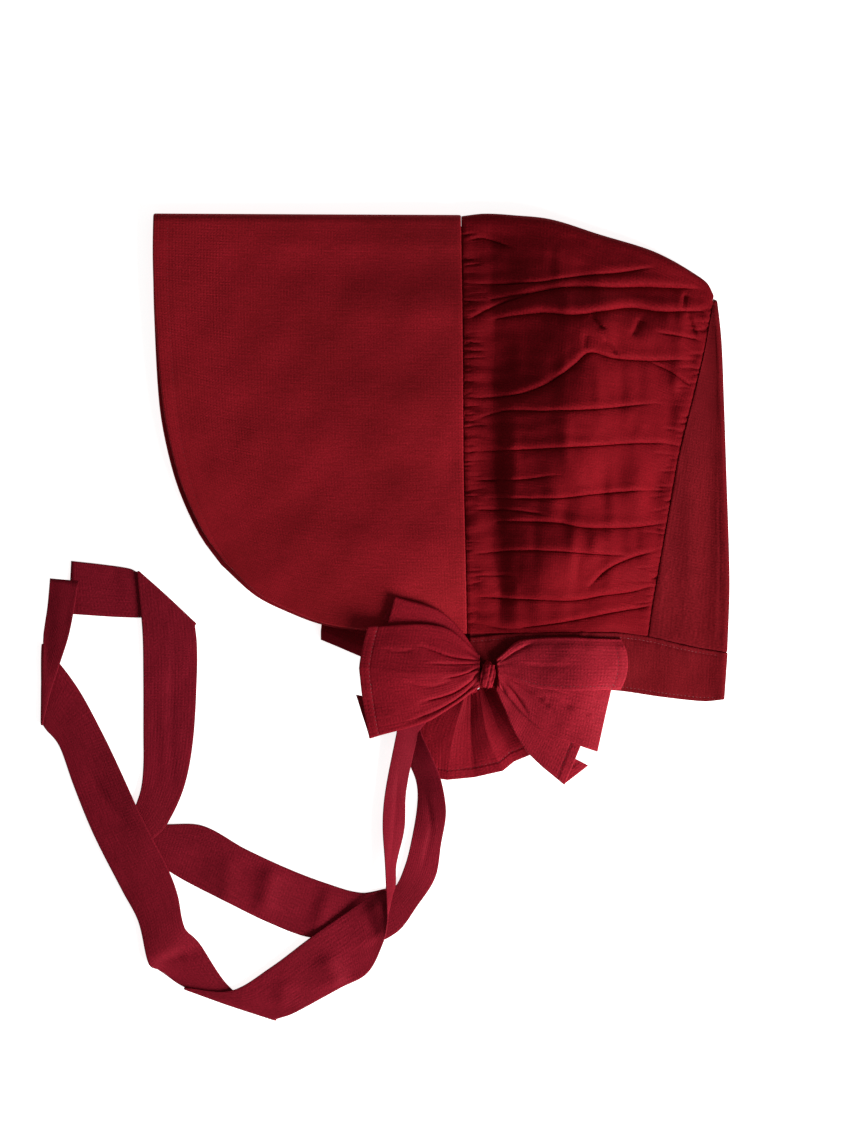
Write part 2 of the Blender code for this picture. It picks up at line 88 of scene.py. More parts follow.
def addNode(tree, kind, out, inputs=None, **settings):
    # gives back the named output, or the whole node where more than one is used
    node = tree.nodes.new(kind)
    for name, value in settings.items():
        setattr(node, name, value)
    for socket, value in (inputs or {}).items():
        if isinstance(value, bpy.types.NodeSocket):
            tree.links.new(value, node.inputs[socket])
        else:
            node.inputs[socket].default_value = value
    return node.outputs[out] if out else node


def bareMaterial(name):
    made = bpy.data.materials.new(name)
    made.use_nodes = True
    made.node_tree.nodes.clear()
    return made


def wovenCotton(name, look):
    made = bareMaterial(name)
    tree = made.node_tree
    deep, bright, worn = [hexColour(hue) for hue in look["hues"]]
    cut = addNode(tree, "ShaderNodeUVMap", "UV", uv_map="cloth")
    place = addNode(tree, "ShaderNodeTexCoord", "Object")

    # plain weave: one thread over and one under, both ways
    bands = 2 * math.pi / (20 * look["thread"] * 2 * mm)
    wave = {"Vector": cut, "Scale": bands, "Distortion": 0.6, "Detail": 1.0, "Detail Scale": 0.4}
    weft = addNode(tree, "ShaderNodeTexWave", "Fac", wave, bands_direction="Y")
    warp = addNode(tree, "ShaderNodeTexWave", "Fac", wave, bands_direction="X")
    weave = addNode(tree, "ShaderNodeMath", "Value", {0: weft, 1: warp}, operation="MULTIPLY")

    # slubs: thicker stretches of yarn that run across the cloth
    stretch = addNode(tree, "ShaderNodeVectorMath", "Vector", {0: cut, 1: (
        1 / (look["slubLength"] * mm), 1 / (look["slubWidth"] * mm), 1.0)}, operation="MULTIPLY")
    slub = addNode(tree, "ShaderNodeTexNoise", "Fac", {
        "Vector": stretch, "Scale": 1.0, "Detail": 3.0, "Roughness": 0.6})
    mottle = addNode(tree, "ShaderNodeTexNoise", "Fac", {
        "Vector": place, "Scale": 1 / (look["mottle"] * mm), "Detail": 2.0, "Roughness": 0.5})
    crumple = addNode(tree, "ShaderNodeTexNoise", "Fac", {
        "Vector": place, "Scale": 1 / (look["crumple"] * mm), "Detail": 3.0, "Roughness": 0.55})
    fuzz = addNode(tree, "ShaderNodeTexNoise", "Fac", {
        "Vector": cut, "Scale": 1 / (look["fuzz"] * mm), "Detail": 1.0})

    dyed = addNode(tree, "ShaderNodeMapRange", "Result", {
        "Value": mottle, "From Min": 0.35, "From Max": 0.65})
    streak = addNode(tree, "ShaderNodeMapRange", "Result", {
        "Value": slub, "From Min": 0.3, "From Max": 0.7})
    ground = addNode(tree, "ShaderNodeMix", "Result", {"Factor": dyed, "A": deep, "B": bright},
                     data_type="RGBA")
    yarn = addNode(tree, "ShaderNodeMix", "Result", {"Factor": streak, "A": deep, "B": worn},
                   data_type="RGBA")
    toned = addNode(tree, "ShaderNodeMix", "Result", {
        "Factor": look["streaks"], "A": ground, "B": yarn}, data_type="RGBA")
    grain = addNode(tree, "ShaderNodeMapRange", "Result", {
        "Value": fuzz, "From Min": 0.3, "From Max": 0.7,
        "To Min": 1.0 - look["grain"], "To Max": 1.0 + look["grain"]})
    shown = addNode(tree, "ShaderNodeVectorMath", "Vector", {0: toned, "Scale": grain},
                    operation="SCALE")

    soft = addNode(tree, "ShaderNodeBump", "Normal", {
        "Height": crumple, "Strength": 1.0, "Distance": look["crumpleDepth"] * mm})
    ribs = addNode(tree, "ShaderNodeBump", "Normal", {
        "Height": slub, "Strength": 1.0, "Distance": look["slubDepth"] * mm, "Normal": soft})
    threads = addNode(tree, "ShaderNodeBump", "Normal", {
        "Height": weave, "Strength": 1.0, "Distance": look["threadDepth"] * mm, "Normal": ribs})
    shader = addNode(tree, "ShaderNodeBsdfPrincipled", "BSDF", {
        "Base Color": shown, "Normal": threads, "Roughness": look["roughness"],
        "IOR": look["ior"], "Specular IOR Level": look["gloss"], "Sheen Weight": look["sheen"],
        "Sheen Roughness": 0.45, "Sheen Tint": hexColour(look["sheenTint"])})
    addNode(tree, "ShaderNodeOutputMaterial", None, {"Surface": shader})
    return made


# Plain-weave cotton, dyed wine red: a deep, a bright and a worn hue. The real threads are about
# 0.35 mm apart, too fine to show here, so the weave is drawn at 0.9 mm. The slubs give the faint
# streaks across the cloth. Loose fibres mirror far less at a low angle than solid cellulose
# would, hence the low IOR.
cottonLook = {
    "sheenTint": "#C8202E", "thread": 0.9, "threadDepth": 0.09, "slubLength": 12.0,
    "slubWidth": 0.8, "slubDepth": 0.11, "mottle": 34.0, "crumple": 7.0, "crumpleDepth": 0.5,
    "fuzz": 0.9, "grain": 0.24, "streaks": 0.5, "roughness": 0.6, "ior": 1.22, "sheen": 0.02}
# The brim has a stiff lining fused behind the same cotton, so it lies smooth. Its hues are the
# lightest of the hat body; the darker crown and band hues are painted shade.
brimCotton = wovenCotton("fusedCottonBrim", {
    **cottonLook, "hues": ("#751318", "#86161F", "#941A26"), "gloss": 0.1, "crumple": 14.0,
    "crumpleDepth": 0.35})
# The soft body of the hat is unlined. Its hues are darker than the brim's, which is painted shade:
# the same cotton would otherwise show as bright as the brim
paintedShadeCrownCotton = wovenCotton("gatheredCottonCrownPaintedShade", {
    **cottonLook, "hues": ("#5F0A11", "#6B0D14", "#78111A"), "gloss": 0.035})
# The back panel, the neck band and the seam allowances, in hues darker still: painted shade, since
# these parts lie nearer the key light and would otherwise show brighter than the crown
paintedShadeBandCotton = wovenCotton("doubledCottonBandPaintedShade", {
    **cottonLook, "hues": ("#520B10", "#5E0E13", "#6B121A"), "gloss": 0.035, "crumpleDepth": 0.4})
# Bows and ties are pressed double cotton, which lies smoother and shines a little more
bowLook = {**cottonLook, "hues": ("#6A0E18", "#7A111D", "#881623"), "gloss": 0.10, "crumple": 9.0,
           "crumpleDepth": 0.4}
bowCotton = wovenCotton("pressedCottonBow", bowLook)
# The same cotton in lighter hues and with more gloss, for the near back wing: the lighter hues are
# painted light, so that this wing shows brighter than the front wing
paintedLightBowCotton = wovenCotton("pressedCottonBowPaintedLight", {
    **bowLook, "hues": ("#7A141F", "#8C1826", "#9B1E2D"), "gloss": 0.18})
tieCotton = wovenCotton("pressedCottonTie", {
    **cottonLook, "hues": ("#630F1A", "#721220", "#801726"), "gloss": 0.10, "threadDepth": 0.07,
    "crumple": 11.0, "crumpleDepth": 0.35})
# Sewing thread of mercerised cotton, which catches small lights. Its hues are darker than the
# cloth's: painted shade for the small dimples the stitches sink into
threadLook = {"deep": "#4E0A14", "worn": "#7A1522", "twist": 1.5, "roughness": 0.45}


def sewingThread(name, look):
    made = bareMaterial(name)
    tree = made.node_tree
    place = addNode(tree, "ShaderNodeTexCoord", "Object")
    twist = addNode(tree, "ShaderNodeTexNoise", "Fac", {
        "Vector": place, "Scale": 1 / (look["twist"] * mm)})
    dyed = addNode(tree, "ShaderNodeMix", "Result", {
        "Factor": twist, "A": hexColour(look["deep"]), "B": hexColour(look["worn"])},
        data_type="RGBA")
    shader = addNode(tree, "ShaderNodeBsdfPrincipled", "BSDF", {
        "Base Color": dyed, "Roughness": look["roughness"]})
    addNode(tree, "ShaderNodeOutputMaterial", None, {"Surface": shader})
    return made


paintedShadeStitchThread = sewingThread("mercerisedCottonThreadPaintedShade", threadLook)
print("materials made")


# Curves, patches and the lie of the folded cloth

def ease(share):
    share = np.clip(share, 0.0, 1.0)
    return share * share * (3.0 - 2.0 * share)


def within(share, low, high):
    # fades in over the first part of 0 to 1, and out over the last
    return ease(share / low) * ease((1 - share) / high)


def smoothCurve(points):
    knots = np.array(points, dtype=float)
    marks = np.concatenate([[0.0], np.cumsum(np.linalg.norm(np.diff(knots, axis=0), axis=1))])
    marks = marks / marks[-1]
    slopes = np.gradient(knots, axis=0)
    for index in range(len(knots)):
        low = max(index - 1, 0)
        high = min(index + 1, len(knots) - 1)
        slopes[index] = (knots[high] - knots[low]) / (marks[high] - marks[low])

    def at(share):
        share = np.clip(np.asarray(share, dtype=float), 0.0, 1.0)
        index = np.clip(np.searchsorted(marks, share, side="right") - 1, 0, len(knots) - 2)
        span = marks[index + 1] - marks[index]
        t = ((share - marks[index]) / span)[..., None]
        span = span[..., None]
        start = knots[index] * (2 * t ** 3 - 3 * t ** 2 + 1)
        end = knots[index + 1] * (3 * t ** 2 - 2 * t ** 3)
        leave = slopes[index] * span * (t ** 3 - 2 * t ** 2 + t)
        arrive = slopes[index + 1] * span * (t ** 3 - t ** 2)
        return start + leave + end + arrive

    at.marks = marks
    return at


def valueAt(table, place):
    place = np.asarray(place, dtype=float)
    at = np.array([row.at for row in table])
    value = np.array([row.value for row in table])
    index = np.clip(np.searchsorted(at, place, side="left") - 1, 0, len(at) - 2)
    share = ease((place - at[index]) / (at[index + 1] - at[index]))
    return value[index] + (value[index + 1] - value[index]) * share


def patch(left, right, top, bottom):
    leftAt, rightAt, topAt, bottomAt = [smoothCurve(side) for side in (left, right, top, bottom)]

    def at(u, v):
        u = np.asarray(u, dtype=float)
        v = np.asarray(v, dtype=float)
        across = leftAt(v) * (1 - u)[..., None] + rightAt(v) * u[..., None]
        down = topAt(u) * (1 - v)[..., None] + bottomAt(u) * v[..., None]
        upper = topAt(0.0) * (1 - u)[..., None] + topAt(1.0) * u[..., None]
        lower = bottomAt(0.0) * (1 - u)[..., None] + bottomAt(1.0) * u[..., None]
        return across + down - upper * (1 - v)[..., None] - lower * v[..., None]

    return at


bonnetLie = {
    "floorGap": 0.05, "seamGap": 0.12, "bandDrop": 0.84, "brimWall": 2.4, "crownWall": 1.3,
    "bandWall": 1.6, "knotX": 58.0, "knotY": -34.0, "lift": 10.0, "liftFront": 190.0,
    "liftBack": 125.0, "liftUp": 130.0, "liftPower": 1.15, "pinch": 0.55, "pinchReach": 75.0,
    "puff": 26.0, "neckY": -11.0, "peekX": 2.6, "peekY": 1.8}
foldRadius = [Mark(-140, 3.7), Mark(-40, 4.2), Mark(46, 5.0), Mark(110, 7.0), Mark(165, 5.0),
              Mark(198, 2.6), Mark(208, 2.6)]
puffByLength = [Mark(-125, 0.0), Mark(62, 0.60), Mark(118, 1.0), Mark(180, 0.20),
                Mark(200, 0.0), Mark(210, 0.0)]
puffByDepth = [Mark(0.0, 0.0), Mark(0.08, 0.22), Mark(0.25, 0.75), Mark(0.45, 1.0),
               Mark(0.75, 0.8), Mark(1.0, 0.3), Mark(1.2, 0.12)]
topLine = [Mark(-140, 242), Mark(46, 241), Mark(78, 241.5), Mark(129, 230), Mark(172, 215),
           Mark(198, 193), Mark(208, 188)]


def nearKnotShare(x, y):
    away = np.hypot(x - bonnetLie["knotX"], y - bonnetLie["knotY"])
    return ease(1.0 - away / bonnetLie["pinchReach"])


def liftAt(x, y):
    lie = bonnetLie
    reach = np.where(x < lie["knotX"], lie["liftFront"], lie["liftBack"])
    away = np.hypot((x - lie["knotX"]) / reach, (y - lie["knotY"]) / lie["liftUp"])
    return lie["lift"] * np.maximum(0.0, 1.0 - away) ** lie["liftPower"]


def radiusAt(x, y):
    return valueAt(foldRadius, x) * (1.0 - bonnetLie["pinch"] * nearKnotShare(x, y))


def puffAt(x, y):
    top = valueAt(topLine, x)
    depth = (top - y) / (top - bonnetLie["neckY"])
    rise = valueAt(puffByLength, x) * valueAt(puffByDepth, depth)
    return bonnetLie["puff"] * rise * (1.0 - nearKnotShare(x, y))


def farLevel(x, y, wall):
    return bonnetLie["floorGap"] + wall / 2 + liftAt(x, y)


def nearLevel(x, y, wall):
    return farLevel(x, y, wall) + 2 * radiusAt(x, y) + puffAt(x, y)


def edgedSteps(count, edge):
    # even steps, with a few close ones at both ends for a rounded cloth edge
    inner = np.linspace(3 * edge, 1 - 3 * edge, count)
    return np.concatenate([[0, edge, 2 * edge], inner, [1 - 2 * edge, 1 - edge, 1]])


def hairpin(nearCount, farCount, edge):
    # 2 to 1 is the near half, 1 to -1 the fold, -1 to -2 the far half
    near = 1 + np.concatenate([[1, 1 - edge, 1 - 2 * edge],
                               np.linspace(1 - 3 * edge, 0, nearCount)])
    fold = np.cos(np.radians([22, 45, 67, 90, 113, 135, 158]))
    far = -1 - np.concatenate([np.linspace(0, 1 - 2 * edge, farCount), [1 - edge, 1]])
    return np.concatenate([near, fold, far])


def foldedPlace(flat, wall, relief=None, peek=False, foldAlong="top", radiusLimit=None):
    lie = bonnetLie

    def place(along, turn):
        along = np.asarray(along, dtype=float)
        turn = np.asarray(turn, dtype=float)

        def spot(depth):
            if foldAlong == "top":
                return flat(along, depth)
            return flat(1.0 - depth, along)

        edge = spot(np.zeros_like(along))
        run = np.linalg.norm(spot(np.ones_like(along)) - edge, axis=-1)
        radius = radiusAt(edge[..., 0], edge[..., 1])
        if radiusLimit:
            radius = np.minimum(radius, radiusLimit * run)
        inset = radius / run
        angle = np.arccos(np.clip(turn, -1, 1))
        inFold = np.abs(turn) < 1.0
        depth = np.where(inFold, inset * (1.0 - np.sin(angle)),
                         inset + (np.abs(turn) - 1.0) * (1.0 - inset))
        at = spot(depth)
        x, y = at[..., 0], at[..., 1]
        foldLevel = farLevel(edge[..., 0], edge[..., 1], wall) + radius
        start = spot(inset)
        own = foldLevel + radius
        blend = 1.0 - ease(np.linalg.norm(at - start, axis=-1) / (4.0 * radius))
        near = nearLevel(x, y, wall) + (own - nearLevel(start[..., 0], start[..., 1], wall)) * blend
        z = np.where(inFold, foldLevel + radius * np.clip(turn, -1, 1),
                     np.where(turn < 0, farLevel(x, y, wall), near))
        isNear = turn >= 1.0
        if peek:
            shift = np.where(isNear, ease((turn - 1.0) * 1.6) * (1.0 - along), 0.0)
            x = x + lie["peekX"] * shift
            y = y + lie["peekY"] * shift
        spread = np.stack([x, y, z], axis=-1)
        if relief:
            spread = spread + relief(x, y, turn, along) * isNear[..., None]
        return spread

    return place


def gridOver(place, columns, rows):
    along, turn = np.meshgrid(columns, rows)
    return place(along, turn)


def normalsOf(points):
    across = np.gradient(points, axis=1)
    down = np.gradient(points, axis=0)
    normal = np.cross(across, down)
    return normal / np.maximum(np.linalg.norm(normal, axis=-1, keepdims=True), 1e-9)


def ripples(x, y, seed, count, shortest, longest, lean=0.0, spread=math.pi):
    # a sum of waves of many lengths, from -1 to 1 or so
    dice = np.random.default_rng(seed)
    total = np.zeros_like(x)
    for _ in range(count):
        length = math.exp(dice.uniform(math.log(shortest), math.log(longest)))
        way = lean + dice.uniform(-spread, spread)
        phase = dice.uniform(0, 2 * math.pi)
        total += np.sin((x * math.cos(way) + y * math.sin(way)) * 2 * math.pi / length + phase)
    return total / math.sqrt(count)


def clothPiece(name, points, thickness, material, edgeShare=0.35):
    rows, columns = points.shape[:2]
    order = np.arange(rows * columns).reshape(rows, columns)
    quads = np.stack([order[:-1, :-1], order[:-1, 1:], order[1:, 1:], order[1:, :-1]], axis=-1)
    quads = quads.reshape(-1, 4)
    mesh = bpy.data.meshes.new(name)
    mesh.from_pydata((points.reshape(-1, 3) * mm).tolist(), [], quads.tolist())
    # the cloth's own coordinates, in metres of cloth both ways
    stepAcross = np.linalg.norm(np.diff(points, axis=1), axis=-1).mean(axis=0)
    stepDown = np.linalg.norm(np.diff(points, axis=0), axis=-1).mean(axis=1)
    across = np.concatenate([[0.0], np.cumsum(stepAcross)]) * mm
    down = np.concatenate([[0.0], np.cumsum(stepDown)]) * mm
    u, v = np.meshgrid(across, down)
    flatPlaces = np.stack([u.ravel()[quads], v.ravel()[quads]], axis=-1)
    layer = mesh.uv_layers.new(name="cloth")
    layer.data.foreach_set("uv", flatPlaces.ravel())
    mesh.shade_smooth()
    mesh.materials.append(material)
    piece = newObject(name, mesh)
    rims = piece.vertex_groups.new(name="rim")
    for ring, weight in ((0, 1.0), (1, 0.4), (2, 0.1)):
        inside = order[ring:rows - ring, ring:columns - ring]
        hoop = np.concatenate([inside[0], inside[-1], inside[1:-1, 0], inside[1:-1, -1]])
        rims.add(hoop.tolist(), weight, "REPLACE")
    wall = piece.modifiers.new("wall", "SOLIDIFY")
    wall.thickness = thickness * mm
    wall.offset = 0.0
    wall.vertex_group = "rim"
    wall.invert_vertex_group = True
    wall.thickness_vertex_group = edgeShare
    return piece


def dress(piece, node):
    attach(piece, "root")
    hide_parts(node)


# Stitches: short threads laid one after the other along a path

stitchLook = {"pitch": 2.4, "length": 1.7, "radius": 0.17, "sides": 6, "rings": 4}


def stitchTree(look, material):
    tree = bpy.data.node_groups.new("runningStitch", "GeometryNodeTree")
    tree.interface.new_socket("Path", in_out="INPUT", socket_type="NodeSocketGeometry")
    for name in ("Pitch", "Length", "Radius"):
        tree.interface.new_socket(name, in_out="INPUT", socket_type="NodeSocketFloat")
    tree.interface.new_socket("Stitches", in_out="OUTPUT", socket_type="NodeSocketGeometry")
    given = addNode(tree, "NodeGroupInput", None).outputs
    curve = addNode(tree, "GeometryNodeMeshToCurve", "Curve", {"Mesh": given["Path"]})
    points = addNode(tree, "GeometryNodeCurveToPoints", None, {
        "Curve": curve, "Length": given["Pitch"]}, mode="LENGTH").outputs
    turned = addNode(tree, "FunctionNodeAlignRotationToVector", "Rotation", {
        "Vector": points["Tangent"]}, axis="X")
    ball = addNode(tree, "GeometryNodeMeshUVSphere", "Mesh", {
        "Segments": look["sides"], "Rings": look["rings"], "Radius": 1.0})
    half = addNode(tree, "ShaderNodeMath", "Value", {0: given["Length"], 1: 0.5},
                   operation="MULTIPLY")
    size = addNode(tree, "ShaderNodeCombineXYZ", "Vector", {
        "X": half, "Y": given["Radius"], "Z": given["Radius"]})
    placed = addNode(tree, "GeometryNodeInstanceOnPoints", "Instances", {
        "Points": points["Points"], "Instance": ball, "Rotation": turned, "Scale": size})
    real = addNode(tree, "GeometryNodeRealizeInstances", "Geometry", {"Geometry": placed})
    finished = addNode(tree, "GeometryNodeSetMaterial", "Geometry", {
        "Geometry": real, "Material": material})
    addNode(tree, "NodeGroupOutput", None, {"Stitches": finished})
    return tree


runningStitch = stitchTree(stitchLook, paintedShadeStitchThread)


def stitchRows(name, paths):
    corners = []
    edges = []
    for path in paths:
        first = len(corners)
        corners += (np.asarray(path) * mm).tolist()
        edges += [(first + index, first + index + 1) for index in range(len(path) - 1)]
    lines = bpy.data.meshes.new(name + "Path")
    lines.from_pydata(corners, edges, [])
    piece = newObject(name, lines)
    sewn = piece.modifiers.new("sewn", "NODES")
    sewn.node_group = runningStitch
    for item in runningStitch.interface.items_tree:
        if item.in_out == "INPUT" and item.name.lower() in stitchLook:
            sewn[item.identifier] = stitchLook[item.name.lower()] * mm
    seen = bpy.context.evaluated_depsgraph_get()
    made = bpy.data.meshes.new_from_object(piece.evaluated_get(seen))
    piece.modifiers.clear()
    piece.data = made
    made.shade_smooth()
    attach(piece, "root")
    return piece


def onTop(place, along, turn, gap):
    # points on the upper face of a cloth, a little above its middle layer
    step = 1e-3
    here = place(along, turn)
    across = place(along + step, turn) - place(along - step, turn)
    down = place(along, turn - step) - place(along, turn + step)
    normal = np.cross(down, across)
    normal = normal / np.linalg.norm(normal, axis=-1, keepdims=True)
    normal = normal * np.sign(normal[..., 2:3])
    return here + normal * gap


# Brim

frontSeam = [(46, 241), (47, 160), (47.5, 85), (49, 20), (49.5, -9.5)]
brimShape = {
    "front": [(-139, 242), (-139.5, 215), (-139, 184), (-136, 130), (-131.5, 103),
              (-124, 76.5), (-111.5, 49.5), (-98.5, 31.5)],
    "bottom": [(-98.5, 31.5), (-78.5, 13.5), (-61.5, 4.5), (-37.5, -4.5), (-16.5, -7.5),
               (15, -9)],
    "top": [(-139, 242), (-50, 241.5)],
    "thickness": 2.1, "width": 186.0, "hem": 9.0, "hemGroove": 0.25, "wave": 0.35, "rows": 150,
    "columns": 110}


def seamLine(gap):
    return [(x + gap, y) for x, y in frontSeam]


def makeBrim(shape):
    seam = seamLine(-bonnetLie["seamGap"])
    flat = patch(shape["front"], seam, shape["top"] + [seam[0]], shape["bottom"] + [seam[-1]])

    def relief(x, y, turn, along):
        wave = ripples(x, y, 3, 9, 26, 90) * shape["wave"]
        fromEdge = along * shape["width"]
        groove = -shape["hemGroove"] * np.exp(-((fromEdge - shape["hem"]) / 0.9) ** 2)
        depth = turn - 1.0
        inner = within(along, 0.05, 0.06) * within(depth, 0.06, 0.06)
        raised = np.zeros(x.shape + (3,))
        raised[..., 2] = wave * inner + groove * ease(depth / 0.03)
        return raised

    place = foldedPlace(flat, bonnetLie["brimWall"], relief=relief, peek=True)
    points = gridOver(place, edgedSteps(shape["columns"], 0.0022),
                      hairpin(shape["rows"], 30, 0.0018))
    piece = clothPiece("brimCloth", points, shape["thickness"], brimCotton, 0.45)
    dress(piece, "brim")
    turn = np.linspace(1.02, 1.985, 200)
    hemAt = np.full_like(turn, shape["hem"] / shape["width"])
    hemLine = onTop(place, hemAt, turn, shape["thickness"] / 2)
    sewn = stitchRows("brimHemStitches", [hemLine])


makeBrim(brimShape)
print("brim made")


# Crown

crownShape = {
    "top": [(60, 242.5), (78, 241.5), (100, 239), (129, 230), (157.5, 221.5), (172, 215),
            (186.5, 206.5), (194, 201), (198, 193.5)],
    "neck": [(81, -9.2), (135, -8.7), (158, -11.2)],
    "thickness": 0.7, "rows": 350, "columns": 104, "valleyAt": 18.0, "valley": 4.2,
    "valleyFront": 9.0, "valleyBack": 13.0, "billow": 1.0, "flank": 4.2,
    "flankRise": (19, 12), "flankFall": (32, 42), "flankUpTo": (105, 45), "gatherDepth": 0.12,
    "gatherSpacing": 3.4, "gatherReach": 9.0, "frontCreases": 80, "backCreases": 75}
backSeam = [(198, 193.5), (192, 160), (177, 100), (171.5, 70), (161, 10.5), (158, -11)]

# Pressed folds across the crown, front to back. Depth, then how wide the fold is above and
# below its line, and how far the cloth above it hangs over.
crownFolds = [
    Fold([(48, 200), (88, 200.5), (113, 204), (136, 206.5), (159, 210), (172, 211.5)],
         1.8, 2.0, 5.0, 0.8),
    Fold([(64, 190.5), (97, 197), (113, 199), (136, 199), (159, 200), (194, 197.5)],
         4.2, 2.0, 6.0, 2.2),
    Fold([(48, 177), (62, 185), (88, 194)], 1.6, 1.6, 3.0, 0.6),
    Fold([(66, 179), (93, 183.5), (113, 182), (131, 184.5), (148, 187), (165, 185), (191, 184.5)],
         4.2, 2.0, 8.0, 2.2),
    Fold([(50, 131), (79, 133.5), (97, 140), (113, 151), (122, 158.5), (136, 155.5), (154, 154.5),
          (187, 155)], 2.4, 2.0, 5.0, 1.0),
    Fold([(158, 153.5), (171, 148), (184, 139)], 1.2, 1.6, 4.0, 0.6),
    Fold([(52, 118), (72, 123.5), (97, 123.5), (125, 124.5), (148, 127), (163, 128.5)],
         1.6, 1.8, 5.0, 0.7),
    Fold([(50, 99.5), (79, 100.5), (121, 102.5), (148, 104.5), (171, 104.5), (178, 103)],
         1.6, 1.8, 4.0, 0.7),
    Fold([(52, 82.5), (79, 82.5), (102, 85)], 0.9, 1.4, 3.0, 0.4),
    Fold([(62, 71.5), (102, 71.5), (125, 74), (148, 76), (165, 76.5)], 1.3, 1.6, 4.0, 0.5),
    Fold([(50, 65), (79, 64), (97, 61.5)], 1.0, 1.4, 3.0, 0.4),
    Fold([(67, 57.5), (81, 58), (102, 57.5), (119, 54.5), (142, 54.5), (169, 56.5)],
         2.6, 1.9, 5.0, 1.2),
    Fold([(50, 38), (79, 40.5), (104, 40), (131, 38), (145, 37.5)], 1.3, 1.6, 4.0, 0.6),
    Fold([(122, 19), (133, 29.5), (148, 36.5), (160, 39.5)], 1.8, 1.6, 4.0, 0.8),
    Fold([(50, 25.5), (76, 25.5)], 0.7, 1.4, 2.5, 0.2),
    Fold([(50, 13), (91, 11.5), (113, 11), (131, 14), (148, 16), (162, 19.5)], 2.0, 1.8, 5.0, 0.9),
    Fold([(53, -2), (72, -6.5), (91, -4.5), (113, -1), (136, 3.5), (160, 7)], 1.6, 1.8, 4.0, 0.7),
    # short dents between the two top folds and under them
    Fold([(123, 181), (131, 172)], 1.6, 2.0, 3.0, 0.6),
    Fold([(131, 167), (139, 157)], 1.4, 2.0, 3.0, 0.5),
    Fold([(120, 170), (119, 160)], 0.9, 2.4, 3.5, 0.2),
    Fold([(154, 180), (148, 168)], 1.8, 3.0, 3.0, 0.3),
    Fold([(181, 195), (178.5, 185)], 1.3, 2.0, 2.0, 0.3),
    Fold([(182, 183), (187, 170)], 1.5, 2.2, 3.0, 0.4),
    Fold([(163, 171), (178, 169), (190, 167)], 1.0, 1.4, 3.0, 0.4),
    Fold([(47, 226), (60, 228), (76, 222)], 1.4, 1.6, 3.0, 0.6),
]


# Soft rises and hollows between the folds: place, reach across and along, height
Swell = namedtuple("Swell", "x y across along height")
crownSwells = [
    Swell(131, 172, 8, 10, 2.0), Swell(131, 86, 8, 24, -2.0), Swell(132, 217, 13, 12, -1.4),
    Swell(97, 217, 12, 14, 1.5), Swell(80, 160, 12, 18, -1.2), Swell(170, 92, 6, 16, -1.6),
    Swell(153, 118, 9, 12, 1.2), Swell(108, 95, 12, 16, 1.3), Swell(150, 40, 14, 20, 1.0),
    Swell(95, 30, 14, 12, 0.8), Swell(160, 170, 8, 8, 1.2)]
# Smaller upright dents and rises at uneven places: how many, and the range of each measure
dentRange = {"count": 110, "x": (72, 184), "y": (0, 215), "across": (2.8, 7.0), "along": (6, 17),
             "height": (0.6, 1.7)}


def swell(x, y, swells):
    total = np.zeros_like(x)
    for one in swells:
        away = ((x - one.x) / one.across) ** 2 + ((y - one.y) / one.along) ** 2
        total += one.height * np.exp(-away)
    return total


def scatteredSwells(look):
    # stronger towards the back of the crown
    dice = np.random.default_rng(29)
    front, back = look["x"]
    made = []
    for _ in range(look["count"]):
        x = dice.uniform(front, back)
        height = dice.uniform(*look["height"]) * dice.choice([-1.0, 1.0])
        height *= 0.6 + 0.6 * (x - front) / (back - front)
        y = dice.uniform(*look["y"])
        made.append(Swell(x, y, dice.uniform(*look["across"]), dice.uniform(*look["along"]), height))
    return made


# The section across a fold: how far it reaches in widths, how its ends fade, how deep the groove
# and the sharp cut in it are, and how high the cloth rolls beside it
foldForm = {"reach": 3.5, "tail": 3.0, "endShare": 0.22, "endDepth": 0.25, "depth": 1.45,
            "cut": 0.5, "cutWidth": 0.6, "cutUnder": 2.3, "roll": 0.18, "hangWidth": 1.3}


